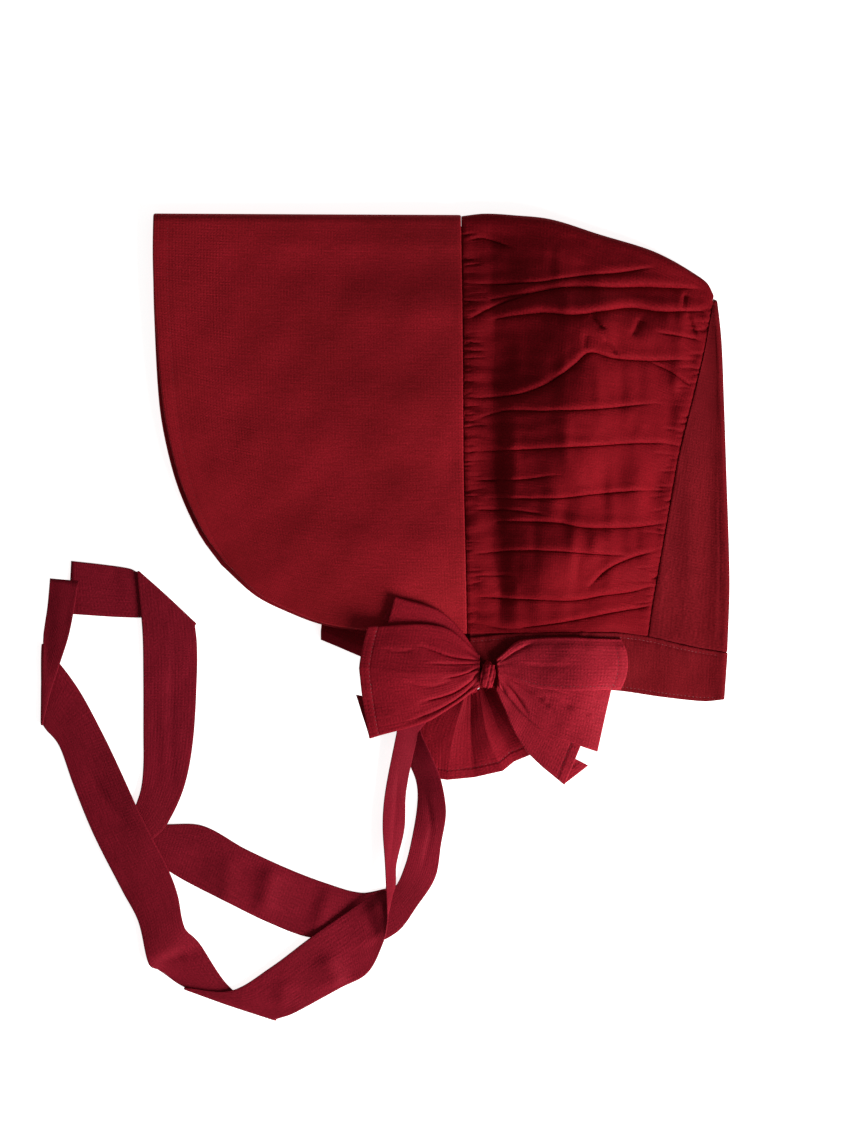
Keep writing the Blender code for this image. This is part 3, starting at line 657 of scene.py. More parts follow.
def foldRelief(x, y, folds):
    # how the folds move the cloth: up and down, and sideways over their own lines
    form = foldForm
    moved = np.zeros(x.shape + (3,))
    for fold in folds:
        curve = smoothCurve(fold.route)(np.linspace(0, 1, 8 * len(fold.route)))
        reach = form["reach"] * max(fold.above, fold.below)
        low = curve.min(axis=0) - reach
        high = curve.max(axis=0) + reach
        near = (x > low[0]) & (x < high[0]) & (y > low[1]) & (y < high[1])
        if not near.any():
            continue
        px = x[near]
        py = y[near]
        best = np.full(px.shape, 1e9)
        side = np.zeros(px.shape)
        share = np.zeros(px.shape)
        for index in range(len(curve) - 1):
            ax, ay = curve[index]
            run = curve[index + 1] - curve[index]
            length = float(run @ run)
            t = np.clip(((px - ax) * run[0] + (py - ay) * run[1]) / length, 0, 1)
            dx = px - ax - run[0] * t
            dy = py - ay - run[1] * t
            away = np.hypot(dx, dy)
            closer = away < best
            best = np.where(closer, away, best)
            cross = run[0] * dy - run[1] * dx
            side = np.where(closer, np.sign(cross) * (1 if run[0] >= 0 else -1), side)
            share = np.where(closer, (index + t) / (len(curve) - 1), share)
        fade = within(share, form["endShare"], form["endShare"])
        fade = form["endDepth"] + (1 - form["endDepth"]) * fade
        for end, inner, atEnd in ((curve[0], curve[1], share <= 0.001),
                                  (curve[-1], curve[-2], share >= 0.999)):
            out = (end - inner) / np.hypot(*(end - inner))
            beyond = (px - end[0]) * out[0] + (py - end[1]) * out[1]
            past = np.exp(-(np.maximum(beyond, 0) / form["tail"]) ** 2)
            fade = np.where(atEnd, fade * past, fade)
        above = side >= 0
        groove = np.where(above, np.exp(-(best / (0.5 * fold.above)) ** 2),
                          0.5 * np.exp(-best / (0.7 * fold.above))
                          + 0.5 * np.exp(-(best / (1.2 * fold.below)) ** 1.3))
        sharp = min(form["cut"], form["cut"] / fold.depth) if fold.above < form["cutUnder"] else 0.0
        cut = sharp * np.exp(-(best / form["cutWidth"]) ** 2)
        roll = form["roll"] * np.exp(-((best - 1.6 * fold.above) / (1.4 * fold.above)) ** 2)
        roll = np.where(above, roll, 0.0)
        hang = np.exp(-(best / np.where(above, form["hangWidth"] * fold.above, 0.5)) ** 2)
        moved[near, 2] += form["depth"] * fold.depth * fade * (roll - groove - cut)
        moved[near, 1] -= fold.tuck * fade * hang
    return moved


def gatherCreases(frontAt, backAt, shape):
    # short pinched creases that run out of both seams at uneven places
    dice = np.random.default_rng(19)
    creases = []
    for index in range(shape["frontCreases"] + shape["backCreases"]):
        front = index < shape["frontCreases"]
        y = dice.uniform(-6, 232) if front else dice.uniform(-6, 190)
        long = 3.0 + 13.0 * dice.random() ** 2
        rise = dice.normal(0.0, 0.12) * long
        start = frontAt(y) + 0.4 if front else backAt(y) - 0.4
        way = 1.0 if front else -1.0
        middle = (start + way * 0.5 * long, y + 0.5 * rise + dice.normal(0.0, 0.35))
        creases.append(Fold([(start, y), middle, (start + way * long, y + rise)],
                            0.15 + 0.5 * dice.random() ** 2, 0.8, 1.4, 0.2))
    return creases


def gatherRelief(fromFront, fromBack, y, shape):
    # fine upright gathers that run out from both seams and die away
    spacing = shape["gatherSpacing"]
    wander = 0.9 * np.sin(fromFront / 9.0 + y / 23.0) + 0.5 * np.sin(fromFront / 4.0 + y / 7.0)
    fine, broad, finer = [
        ripples(np.zeros_like(y), y + sway * wander, seed, count, short * spacing, long * spacing,
                math.pi / 2, 0.05)
        for sway, seed, count, short, long in ((1.0, 11, 7, 0.75, 1.6), (1.6, 12, 6, 2.2, 5.0),
                                               (0.7, 14, 7, 0.75, 1.5))]
    front = np.exp(-fromFront / shape["gatherReach"])
    back = np.exp(-fromBack / (0.9 * shape["gatherReach"]))
    broad = 0.45 * broad * np.exp(-fromFront / 32.0)
    return shape["gatherDepth"] * (front * fine + back * finer) + broad


def makeCrown(shape):
    gap = bonnetLie["seamGap"]
    seam = seamLine(gap)
    flat = patch(seam, backSeam, [seam[0]] + shape["top"], [seam[-1]] + shape["neck"])
    shares = np.linspace(0, 1, 60)
    seamX, seamY = smoothCurve(seam)(shares).T
    backX, backY = smoothCurve(backSeam)(shares).T

    def frontAt(y):
        return np.interp(-y, -seamY, seamX)

    def backAt(y):
        return np.interp(-y, -backY, backX)

    creases = gatherCreases(frontAt, backAt, shape)
    dents = scatteredSwells(dentRange)

    def relief(x, y, turn, along):
        fromFront = np.maximum(x - frontAt(y), 0)
        fromBack = np.maximum(backAt(y) - x, 0)
        depth = turn - 1.0
        whole = within(depth, 0.05, 0.03)
        inner = ease(fromFront / 10.0) * ease(fromBack / 8.0) * whole
        moved = foldRelief(x, y, crownFolds) * inner[..., None]
        wander = ripples(x * 0, y, 22, 4, 40, 90, math.pi / 2, 0.02)
        uneven = ripples(x * 0, y, 21, 5, 25, 70, math.pi / 2, 0.02)
        off = fromFront - shape["valleyAt"] - 1.2 * wander
        valley = np.where(off < 0, np.exp(-np.abs(off / shape["valleyFront"]) ** 1.3),
                          np.exp(-np.abs(off / shape["valleyBack"]) ** 1.2))
        valley = -shape["valley"] * valley * (0.8 + 0.25 * uneven)
        billow = shape["billow"] * ripples(x, y, 5, 12, 22, 70)
        billow += swell(x, y, dents) * ease((fromFront - 14) / 12)
        moved += foldRelief(x, y, creases) * within(depth, 0.03, 0.02)[..., None]
        moved[..., 2] += (valley + gatherRelief(fromFront, fromBack, y, shape)) * whole
        moved[..., 2] += (billow + swell(x, y, crownSwells)) * inner
        # lower down the cloth rises at once past the valley, and then lies flatter
        rise, fall, upTo = [ease((place - shape[name][0]) / shape[name][1]) for place, name in (
            (fromFront, "flankRise"), (fromFront, "flankFall"), (y, "flankUpTo"))]
        moved[..., 2] += shape["flank"] * rise * (1 - fall) * (1 - upTo) * whole
        # the edge turns down into each seam
        moved[..., 2] -= 0.9 * np.exp(-(fromFront / 1.3) ** 2) + 0.6 * np.exp(-(fromBack / 1.2) ** 2)
        return moved

    place = foldedPlace(flat, bonnetLie["crownWall"], relief=relief)
    points = gridOver(place, edgedSteps(shape["columns"], 0.003),
                      hairpin(shape["rows"], 40, 0.0012))
    piece = clothPiece("crownCloth", points, shape["thickness"], paintedShadeCrownCotton)
    dress(piece, "crown")


makeCrown(crownShape)
print("crown made")


# Back panel and neck band

backShape = {
    "tip": [(197.8, 191.6), (200, 190.8)],
    "fold": [(200, 190.8), (202.5, 166.5), (204, 130.5), (205.5, 85.5), (207, 40.5),
             (207.3, 15), (206, -21)],
    "neck": [(183, -17.1), (206, -21.3)],
    "thickness": 0.8, "wave": 0.45, "rows": 190, "crease": 0.9, "creaseX": 201.8}
bandShape = {
    "top": [(51, -11.5), (81, -9), (135, -8.5), (158, -11), (183, -17), (206, -21)],
    "bottom": [(52, -42), (100, -42.5), (137, -43.5), (165, -47.5), (192, -50.5),
               (204, -49.5)],
    "thickness": 1.2, "width": 32.0, "stitchedAt": (2.6, 2.4), "groove": 0.35, "pucker": 0.22,
    "rows": 40}


def makeBackPanel(shape):
    gap = 2 * bonnetLie["seamGap"]
    seam = [(shape["tip"][0][0] + gap, shape["tip"][0][1])]
    seam += [(x + gap, y) for x, y in backSeam[1:]]
    flat = patch(seam, shape["fold"], [seam[0], shape["tip"][1]], [seam[-1]] + shape["neck"])

    def relief(x, y, turn, along):
        depth = turn - 1.0
        inner = within(depth, 0.15, 0.08) * within(along, 0.05, 0.03)
        moved = np.zeros(x.shape + (3,))
        wave = ripples(x, y, 31, 8, 18, 60, 0.2, 0.5)
        fold = np.exp(-((x - shape["creaseX"]) / 1.1) ** 2) * ease((along - 0.3) / 0.3)
        moved[..., 2] = (shape["wave"] * wave - shape["crease"] * fold) * inner
        return moved

    place = foldedPlace(flat, bonnetLie["crownWall"], relief=relief, foldAlong="back",
                        radiusLimit=0.6)
    points = gridOver(place, edgedSteps(shape["rows"], 0.002), hairpin(46, 16, 0.012))
    piece = clothPiece("backPanelCloth", points, shape["thickness"], paintedShadeBandCotton)
    dress(piece, "back_panel")


makeBackPanel(backShape)


# Seam allowances: the raw edges of both cloths, pressed flat inside along each seam
allowance = {"width": 10.0, "thickness": 0.5, "rows": 120, "columns": 6, "hangTop": 183.0,
             "hangFade": 20.0}


def seamAllowance(name, route, wall, inside, foldAlong, lean=0.0, tilt=0.0):
    half = allowance["width"] / 2
    if foldAlong == "top":
        folded = [(route[0][0], route[0][1] - inside)] + route[1:]
        left, right = [[(x + way * half + lean, y) for x, y in folded] for way in (-1, 1)]
        flat = patch(left, right, [left[0], right[0]], [left[-1], right[-1]])
    else:
        route = route[:-1] + [(route[-1][0] + 0.6, route[-1][1])]
        upper, lower = [[(x, y + way * half) for x, y in route] for way in (1, -1)]
        flat = patch([upper[0], lower[0]], [upper[-1], lower[-1]], upper, lower)
    place = foldedPlace(flat, wall, foldAlong=foldAlong)
    points = gridOver(place, edgedSteps(allowance["columns"], 0.04),
                      hairpin(allowance["rows"], 60, 0.004))
    normal = normalsOf(points)
    if normal[2, 3, 2] > 0:
        normal = -normal
    # moved inwards, which is down under the near half and up over the far half, and further in
    # along the edge away from the seam, so that no crease of the crown comes down on it
    fade = ease((allowance["hangTop"] - points[..., 1:2]) / allowance["hangFade"])
    hang = tilt * np.linspace(1, 0, points.shape[1])[None, :, None] * fade
    points = points + normal * (inside + hang)
    piece = clothPiece(name, points, allowance["thickness"], paintedShadeBandCotton, 0.6)
    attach(piece, "root")


seamAllowance("frontSeamAllowance", frontSeam[:-1] + [(49.8, -15.5)], bonnetLie["crownWall"], 3.0,
              "top")
seamAllowance("neckSeamAllowance", [(x, y - 0.4) for x, y in bandShape["top"]],
              bonnetLie["bandWall"], 1.1, "back")
seamAllowance("backSeamAllowance", [(x, y - 0.5) for x, y in backSeam[:-1]] + [(159.5, -3)],
              bonnetLie["crownWall"], 1.2, "top", lean=-3.2, tilt=1.6)


def makeNeckBand(shape):
    drop = bonnetLie["bandDrop"] - 0.5
    topRow, lowRow = shape["stitchedAt"]
    top = [(x, y - drop) for x, y in shape["top"]]
    flat = patch([top[0], shape["bottom"][0]], [top[-1], shape["bottom"][-1]], top, shape["bottom"])

    def relief(x, y, turn, along):
        moved = np.zeros(x.shape + (3,))
        down = along * shape["width"]
        up = (1 - along) * shape["width"]
        groove = np.exp(-((down - topRow) / 0.8) ** 2) + 0.7 * np.exp(-((up - lowRow) / 0.8) ** 2)
        pucker = ripples(x, y, 41, 7, 5, 12, 0.0, 0.35) * np.exp(-down / 6.0)
        soft = ripples(x, y, 42, 7, 14, 40)
        height = -shape["groove"] * groove + shape["pucker"] * pucker + 0.25 * soft
        moved[..., 2] = height * within(turn - 1, 0.04, 0.02)
        return moved

    place = foldedPlace(flat, bonnetLie["bandWall"], relief=relief, foldAlong="back")
    points = gridOver(place, edgedSteps(shape["rows"], 0.012), hairpin(170, 60, 0.003))
    piece = clothPiece("neckBandCloth", points, shape["thickness"], paintedShadeBandCotton, 0.5)
    dress(piece, "neck_band")
    turn = np.linspace(1.985, 1.03, 260)
    rows = [onTop(place, np.full_like(turn, at), turn, shape["thickness"] / 2 - 0.05)
            for at in (topRow / shape["width"], 1 - lowRow / shape["width"])]
    sewn = stitchRows("neckBandStitches", rows)


makeNeckBand(bandShape)
print("back panel and neck band made")


# Bows

bowShape = {"pleatRadius": 0.9, "lengths": 90, "thickness": 0.65, "topLayer": 3.0, "hem": 6.0,
            "hemRise": 0.22, "hemGroove": 0.25}
nearFrontPleats = [
    Pleat((56.0, -27, 0.9), (30, -13, 1.5), (-1, -1, 1.5)),
    Pleat((57.0, -23, 1.8), (36, 2, 2.5), (6.5, 12.5, 2.5), 1),
    Pleat((55.5, -28, 3.6), (30, -18, 4.2), (-3, -22, 4.2), 1),
    Pleat((57.2, -23, 5.4), (34, -5.5, 6.2), (-10, -5, 5.8), 1),
    Pleat((57.0, -32, 9.6), (24, -33, 10.8), (-12.5, -30, 7.2)),
    Pleat((57.0, -41, 6.6), (27, -61, 9.6), (-9, -72, 6.2), -1),
    Pleat((55.0, -38, 4.2), (22, -53, 5.0), (-17, -46, 3.4))]
nearBackPleats = [
    Pleat((67.5, -40, 1.5), (90, -70, 1.5), (122, -88.5, 1.4)),
    Pleat((67.0, -43, 2.4), (84, -78, 2.4), (108, -100, 2.3), 1),
    Pleat((68.5, -34, 3.9), (96, -54, 3.9), (125, -57, 3.9), 1),
    Pleat((68.5, -41, 5.7), (93, -66, 5.7), (127.5, -80, 5.7), 1),
    Pleat((67.0, -25, 7.5), (84, -13.2, 7.5), (142, -12.8, 7.5), 1),
    Pleat((68.0, -32, 9.2), (92, -42, 8.6), (141, -43.0, 8.4))]
farFrontPleats = [
    Pleat((48.0, -44, 0.8), (9, -33, 0.6), (-38.5, -13.5, 0.6)),
    Pleat((48.0, -41, 3.0), (8, -26, 2.0), (-38.5, -8, 1.4)),
    Pleat((48.0, -38, 1.2), (8, -18, 0.8), (-38, -3, 0.6)),
    Pleat((48.0, -35, 3.5), (8, -10, 2.2), (-38, 3, 1.6)),
    Pleat((48.0, -32, 1.5), (8, -2, 0.8), (-37, 8, 0.6))]
farLowerPleats = [
    Pleat((45.0, -46.5, 0.8), (22.8, -63, 0.8), (24.0, -96, 0.6)),
    Pleat((48.5, -46.8, 3.0), (41, -73, 2.8), (37.5, -98, 1.8)),
    Pleat((51.5, -44.3, 0.8), (52, -73, 0.8), (54, -96.5, 0.6)),
    Pleat((56.8, -43.2, 2.8), (62, -72, 4.2), (71, -92.5, 3.2)),
    Pleat((58.5, -40.0, 0.9), (68, -66, 0.8), (78, -87, 0.6)),
    Pleat((60.5, -39.0, 3.0), (76, -62, 2.4), (90, -82, 1.6)),
    Pleat((64.0, -38.0, 0.9), (86, -56, 0.8), (105, -70, 0.6))]


# From the brim's wall to the band's, and how the bow droops past the neck edge
restWall = [Mark(47, 2.4), Mark(56, 1.6)]
droop = {"slope": 0.16, "softness": 6.0, "startsAt": -32.0}


def nearRest(x, y):
    # the surface that the near bow lies on
    wall = valueAt(restWall, x)
    level = nearLevel(x, np.maximum(y, bonnetLie["neckY"]), wall) + wall / 2
    # the droop past the neck edge starts softly
    soft = droop["softness"]
    return level - droop["slope"] * soft * np.log1p(np.exp((droop["startsAt"] - y) / soft))


def floorRest(x, y):
    return np.zeros_like(x)


def pleatLine(pleat, shares, rest):
    line = smoothCurve([pleat.knot, pleat.middle, pleat.end])(shares)
    line[:, 2] += rest(line[:, 0], line[:, 1])
    return line


def pleatedRows(pleats, rest, shares, runSteps):
    lines = [pleatLine(pleat, shares, rest) for pleat in pleats]
    radius = bowShape["pleatRadius"]

    def bend(index, angle):
        pleat = pleats[index]
        inward = (lines[index - 1] + lines[index + 1]) / 2 - lines[index]
        inward[:, 2] = 0
        inward = inward / np.linalg.norm(inward, axis=1, keepdims=True) * radius
        turn = math.radians(angle)
        spot = lines[index] + inward * (1 - math.cos(turn))
        spot[:, 2] += radius * pleat.turn * math.sin(turn)
        return spot

    rows = []
    order = []
    for index, pleat in enumerate(pleats):
        if pleat.turn:
            rows += [bend(index, angle) for angle in (-90, -60, -30, 0, 30, 60, 90)]
            order += [float(index)] * 7
        if index == len(pleats) - 1:
            break
        start = bend(index, 90) if pleat.turn else lines[index]
        end = bend(index + 1, -90) if pleats[index + 1].turn else lines[index + 1]
        ts = np.linspace(0, 1, runSteps + 1)
        first = 1 if pleat.turn else 0
        last = runSteps if pleats[index + 1].turn else runSteps + (index == len(pleats) - 2)
        for t in ts[first:last]:
            rows.append(start * (1 - t) + end * t)
            order.append(index + t)
    return np.array(rows), np.array(order)


# Creases that the knot pulls into the upper layers. Their depth is a little less than real, since
# the layers lie close together.
plainWing = {"flatten": 1.0, "creased": None, "bulge": None, "settle": [], "hemmed": [],
             "edge": None, "cotton": bowCotton, "creases": []}
nearFrontLook = {
    **plainWing, "seed": 61, "wrinkle": 0.6, "steps": 36, "flat": (0.10, 0.12), "area": 0.0092,
    "creased": (3.1, 5.0), "bulge": (3.0, 5.0, -2.5), "hemmed": [(2.9, 5.0)],
    "creases": [
        Fold([(22, -16.5), (40, -23), (57, -25.5)], 0.9, 1.2, 2.6, 0.3),
        Fold([(26, -27), (42, -27.5), (57, -27.5)], 0.5, 0.9, 1.8, 0.1),
        Fold([(22, -50), (39, -45.5), (50, -39), (57, -31)], 1.0, 1.2, 3.0, 0.4),
        Fold([(14, -62), (34, -54), (48, -45), (56.5, -36)], 0.7, 1.2, 2.6, 0.2),
        Fold([(36, -36), (46, -34), (57, -29.5)], 0.7, 0.9, 1.6, 0.2),
        Fold([(12, -38), (26, -41), (40, -38)], 0.4, 2.2, 4.0),
        Fold([(-2, -18), (8, -20), (18, -19)], 0.35, 2.2, 4.0)]}
nearBackLook = {
    **plainWing, "seed": 63, "wrinkle": 0.4, "steps": 36, "flatten": 0.58, "flat": (0.11, 0.16),
    "area": 0.0110, "creased": (2.0, 5.0), "bulge": (4.0, 5.0, 4.0), "edge": 4.93,
    "settle": [(2.0, -46.0, 34.0), (1.2, -18.5, 5.5)], "hemmed": [(0.1, 2.9), (4.1, 5.0)],
    # the lighter cotton of this wing is painted light
    "cotton": paintedLightBowCotton,
    "creases": [
        Fold([(69, -27), (80, -19.5), (89, -15)], 0.7, 2.0, 3.6, 0.1),
        Fold([(70, -33), (80, -39), (93, -48), (101, -54)], 1.0, 1.3, 2.6, 0.3),
        Fold([(70, -36), (78, -45), (86, -57)], 0.9, 1.2, 2.6, 0.2),
        Fold([(69, -39), (75, -50), (84, -65)], 0.8, 1.2, 2.4, 0.2),
        Fold([(96, -46), (108, -51), (113, -53)], 0.6, 1.4, 2.4, 0.2),
        Fold([(82, -28), (98, -29), (112, -28)], 0.4, 2.4, 4.0)]}
farFrontLook = {**plainWing, "seed": 65, "wrinkle": 0.25, "steps": 14, "flat": (0.04, 0.10),
                "area": 0.0020}
farLowerLook = {**plainWing, "seed": 67, "wrinkle": 0.3, "steps": 20, "flat": (0.09, 0.055),
                "area": 0.0030, "hemmed": [(0.05, 5.95)]}


def bowWing(name, node, pleats, rest, look):
    shares = edgedSteps(bowShape["lengths"], 0.004)
    rows, order = pleatedRows(pleats, rest, shares, look["steps"])
    if look["flatten"] < 1.0:
        ground = rest(rows[..., 0], rows[..., 1])
        rows[..., 2] = ground + (rows[..., 2] - ground) * look["flatten"]
    seed = look["seed"]
    if look["bulge"]:
        low, high, push = look["bulge"]
        place = np.clip((order - low) / (high - low), 0, 1)
        rows[..., 0] += push * (4 * place * (1 - place))[:, None] * shares[None, :] ** 2
    for drop, level, reach in look["settle"]:
        # the upper edge of the top layer comes down onto what lies below it
        down = ease((rows[..., 1] - level) / reach)
        rows[..., 2] -= drop * down * (order >= bowShape["topLayer"])[:, None]
    normal = normalsOf(rows)
    count = len(rows)
    along, across = np.meshgrid(shares, np.linspace(0, 1, count))
    # wrinkles fan out from the knot and fade along the wing
    fan = ripples(across * 60, along * 9, seed, 7, 3.2, 9.0, 0.0, 0.12)
    soft = ripples(rows[..., 0], rows[..., 1], seed + 1, 8, 14, 45)
    bump = look["wrinkle"] * fan * np.exp(-along / 0.2) + 0.22 * soft * ease(along / 0.2)
    rim = within(across, 0.05, 0.05)
    steps = np.linalg.norm(np.diff(rows, axis=1), axis=-1)
    toEnd = np.cumsum(steps[:, ::-1], axis=1)[:, ::-1]
    toEnd = np.concatenate([toEnd, np.zeros((count, 1))], axis=1)
    fromStitches = toEnd - bowShape["hem"]
    hem = bowShape["hemRise"] * ease(-fromStitches / 1.2)
    hem -= bowShape["hemGroove"] * np.exp(-(fromStitches / 0.6) ** 2)
    hemmed = np.zeros(count)
    for low, high in look["hemmed"]:
        hemmed[(order >= low) & (order <= high)] = 1.0
    bump = bump + hem * hemmed[:, None] * np.sign(normal[..., 2])
    points = rows + normal * (bump * (0.35 + 0.65 * rim))[..., None]
    if look["creased"]:
        low, high = look["creased"]
        share = ease((order - low) / 0.15) * ease((high + 0.001 - order) / 0.1)
        creased = foldRelief(rows[..., 0], rows[..., 1], look["creases"])
        points = points + creased * share[:, None, None]
    piece = clothPiece(name, points, bowShape["thickness"], look["cotton"], 0.5)
    dress(piece, node)
    raised = points + normal * (np.sign(normal[..., 2:3]) * (bowShape["thickness"] / 2 - 0.04))
    paths = []
    for low, high in look["hemmed"]:
        inside = np.flatnonzero((order > low + 0.05) & (order < high - 0.02))
        paths.append(np.array([raised[row, int(np.argmin(np.abs(fromStitches[row])))]
                               for row in inside]))
    if look["edge"]:
        row = int(np.argmin(np.abs(order - look["edge"])))
        paths.append(raised[row, 18:-8])
    sewn = []
    if paths:
        sewn = [stitchRows(name + "Stitches", paths)]


bowWing("nearFrontWing", "near_bow_front_wing", nearFrontPleats, nearRest, nearFrontLook)
bowWing("nearBackWing", "near_bow_back_wing", nearBackPleats, nearRest, nearBackLook)
bowWing("farFrontWing", "far_bow_front_wing", farFrontPleats, floorRest, farFrontLook)
bowWing("farLowerWing", "far_bow_lower_wing", farLowerPleats, floorRest, farLowerLook)
print("bow wings made")


# Knots: cloth wound once round the middle of each bow
knotShape = {"width": 8.0, "height": 17.6, "nearDepth": 11.6, "farDepth": 8.6, "restGap": 0.35,
             "groove": 0.7, "spread": 0.5, "slant": 0.24, "roundShare": 0.72, "box": 0.86,
             "coverFrom": 0.42, "nearAt": (61.8, -34.3), "farAt": (52.5, -38.0),
             "windings": [(-3.4, 0.16, 0.5), (0.9, 0.22, 0.45), (3.3, 0.26, 0.5)]}


def windKnot(name, node, centre, depth, seed):
    cut = bmesh.new()
    bmesh.ops.create_cube(cut, size=2.0)
    bmesh.ops.subdivide_edges(cut, edges=cut.edges[:], cuts=23, use_grid_fill=True)
    shape = knotShape
    half = np.array([shape["width"] / 2, shape["height"] / 2, depth / 2])
    places = np.array([vert.co[:] for vert in cut.verts])
    round_ = places / np.linalg.norm(places, axis=1, keepdims=True)
    boxy = round_ / np.max(np.abs(round_), axis=1, keepdims=True)
    form = (shape["roundShare"] * round_ + (1 - shape["roundShare"]) * boxy * shape["box"]) * half
    # the wound cloth widens at the top, over the roots of the wings
    cover = ease((form[:, 2] / half[2] - shape["coverFrom"]) / 0.4)
    form[:, 0] = form[:, 0] * (1 + shape["spread"] * cover) + shape["slant"] * form[:, 1] * cover
    dent = np.zeros(len(form))
    for offset, lean, wide in shape["windings"]:
        line = form[:, 0] - offset - lean * form[:, 1]
        dent += np.exp(-(line / wide) ** 2)
    dent += 0.3 * ripples(form[:, 0], form[:, 1], seed, 6, 3, 8)
    form = form * (1 - (shape["groove"] * dent / np.linalg.norm(form, axis=1))[:, None])
    for vert, spot in zip(cut.verts, form + np.array(centre)):
        vert.co = spot * mm
    mesh = bpy.data.meshes.new(name)
    cut.to_mesh(mesh)
    cut.free()
    layer = mesh.uv_layers.new(name="cloth")
    spots = np.empty(len(mesh.vertices) * 3)
    mesh.vertices.foreach_get("co", spots)
    spots = spots.reshape(-1, 3)
    corner = np.empty(len(mesh.loops), dtype=np.int32)
    mesh.loops.foreach_get("vertex_index", corner)
    layer.data.foreach_set("uv", spots[corner][:, [1, 0]].ravel())
    mesh.shade_smooth()
    mesh.materials.append(bowCotton)
    piece = newObject(name, mesh)
    dress(piece, node)


nearBase = float(nearRest(np.array(62.0), np.array(-34.0)))
for side, base, seed in (("near", nearBase, 71), ("far", 0.0, 73)):
    deep = knotShape[side + "Depth"]
    windKnot(side + "KnotCloth", side + "_knot",
             (*knotShape[side + "At"], base + knotShape["restGap"] + deep / 2), deep, seed)
print("knots made")


# Ties

tieShape = {"turnRadius": 0.95, "thickness": 0.8, "length": 560.0, "step": 3.0,
            "acrossSteps": 16, "crown": 0.25, "ripple": 0.35}
nearTieRungs = [
    Rung((56.5, -29, 17.5), (56.5, -39, 17.2)),
    Rung((24, -37, 16.8), (38, -54, 15.6)),
    Rung((10.5, -52, 12.0), (25, -63, 10.5)),
    Rung((7, -70, 8.5), (20, -72, 6.5)),
    Rung((0.3, -105, 6.0), (13, -105, 2.5)),
    Rung((-1.2, -125, 7.0), (12, -127, 2.0)),
    Rung((0.3, -149, 8.5), (7, -149, 3.0)),
    Rung((0.9, -164, 9.0), (6.5, -162, 4.0)),
    Rung((1.5, -184, 6.5), (3.5, -165, 4.0)),
    Rung((-0.5, -195, 4.6), (-2.7, -164.5, 3.6)),
    Rung((-10, -214, 2.6), (-22, -177, 3.4)),
    Rung((-27, -223.5, 1.4), (-45, -193, 3.2)),
    Rung((-48, -235, 2.4), (-69, -211, 2.6)),
    Rung((-57, -239.5, 2.5), (-93, -225, 2.5)),
    Rung((-65.5, -243, 1.55), (-121, -224, 1.55), -1),
    Rung((-81, -233, 0.6), (-126, -220, 0.6)),
    Rung((-96, -220, 0.6), (-132, -215.5, 0.6)),
    Rung((-112.5, -195, 2.2), (-137, -212, 2.2)),
    Rung((-120, -187.5, 4.0), (-142, -209, 4.0)),
    Rung((-124.5, -167, 4.6), (-148.5, -183, 2.6)),
    Rung((-130, -152, 5.0), (-158, -165, 2.0)),
    Rung((-147, -118.5, 5.6), (-175.5, -130.5, 2.4)),
    Rung((-159.5, -91.5, 2.6), (-187.5, -101.5, 1.0)),
    Rung((-171, -68, 1.0), (-196, -78, 0.6)),
    Rung((-186, -41, 0.6), (-204, -68, 0.6)),
    Rung((-206.5, -16, 1.55), (-207, -65, 1.55), 1),
    Rung((-205.5, -10, 2.6), (-200.5, -43, 2.6)),
    Rung((-204.5, -3, 2.7), (-195.5, -28, 4.0)),
    Rung((-203, 7, 3.0), (-189.5, -9, 5.6)),
    Rung((-201.5, 23.5, 3.2), (-184, 22, 5.4))]
farTieRungs = [
    Rung((47.5, -35.5, 7.2), (47.5, -43, 7.2)),
    Rung((24, -46.5, 6.4), (33.5, -54, 6.4)),
    Rung((12, -60, 2.0), (22, -66, 8.0)),
    Rung((12.5, -81, 0.7), (28, -82.5, 9.5)),
    Rung((19, -99, 0.7), (34, -98, 7.5)),
    Rung((19.5, -114, 1.0), (37, -117, 5.0)),
    Rung((15.5, -137, 2.6), (34, -137, 1.4)),
    Rung((12, -150, 2.0), (30.5, -157, 0.8)),
    Rung((6.5, -162, 0.8), (19, -175, 0.7)),
    Rung((0.3, -163.5, 0.6), (8.5, -189, 0.6)),
    Rung((-14, -166, 0.6), (-7, -196, 0.6)),
    Rung((-36, -160, 0.6), (-45, -193, 0.6)),
    Rung((-57, -152, 0.6), (-69, -184.5, 0.6)),
    Rung((-84, -139.5, 1.6), (-97.5, -170.5, 1.6)),
    Rung((-110, -125.5, 0.6), (-122, -158, 0.6)),
    Rung((-136, -124.5, 0.6), (-141, -146, 0.6)),
    Rung((-154, -122, 1.55), (-149, -142, 1.55), 1),
    Rung((-151, -116, 2.5), (-140, -134, 2.5)),
    Rung((-147, -104, 2.2), (-131.5, -125.5, 2.4)),
    Rung((-145.5, -89, 1.0), (-121, -103, 1.2)),
    Rung((-145.5, -70, 0.6), (-115.5, -75, 0.6)),
    Rung((-145.5, -33, 1.4), (-113, -33, 1.4)),
    Rung((-146, -8, 2.5), (-113, -16, 2.5)),
    Rung((-148.5, 28, 1.55), (-113.5, -4, 1.55), -1),
    Rung((-154, 29.5, 0.6), (-128, -1, 0.6)),
    Rung((-171, 32, 0.6), (-160, 0, 0.6)),
    Rung((-189, 34, 0.6), (-190.5, 2, 0.6))]


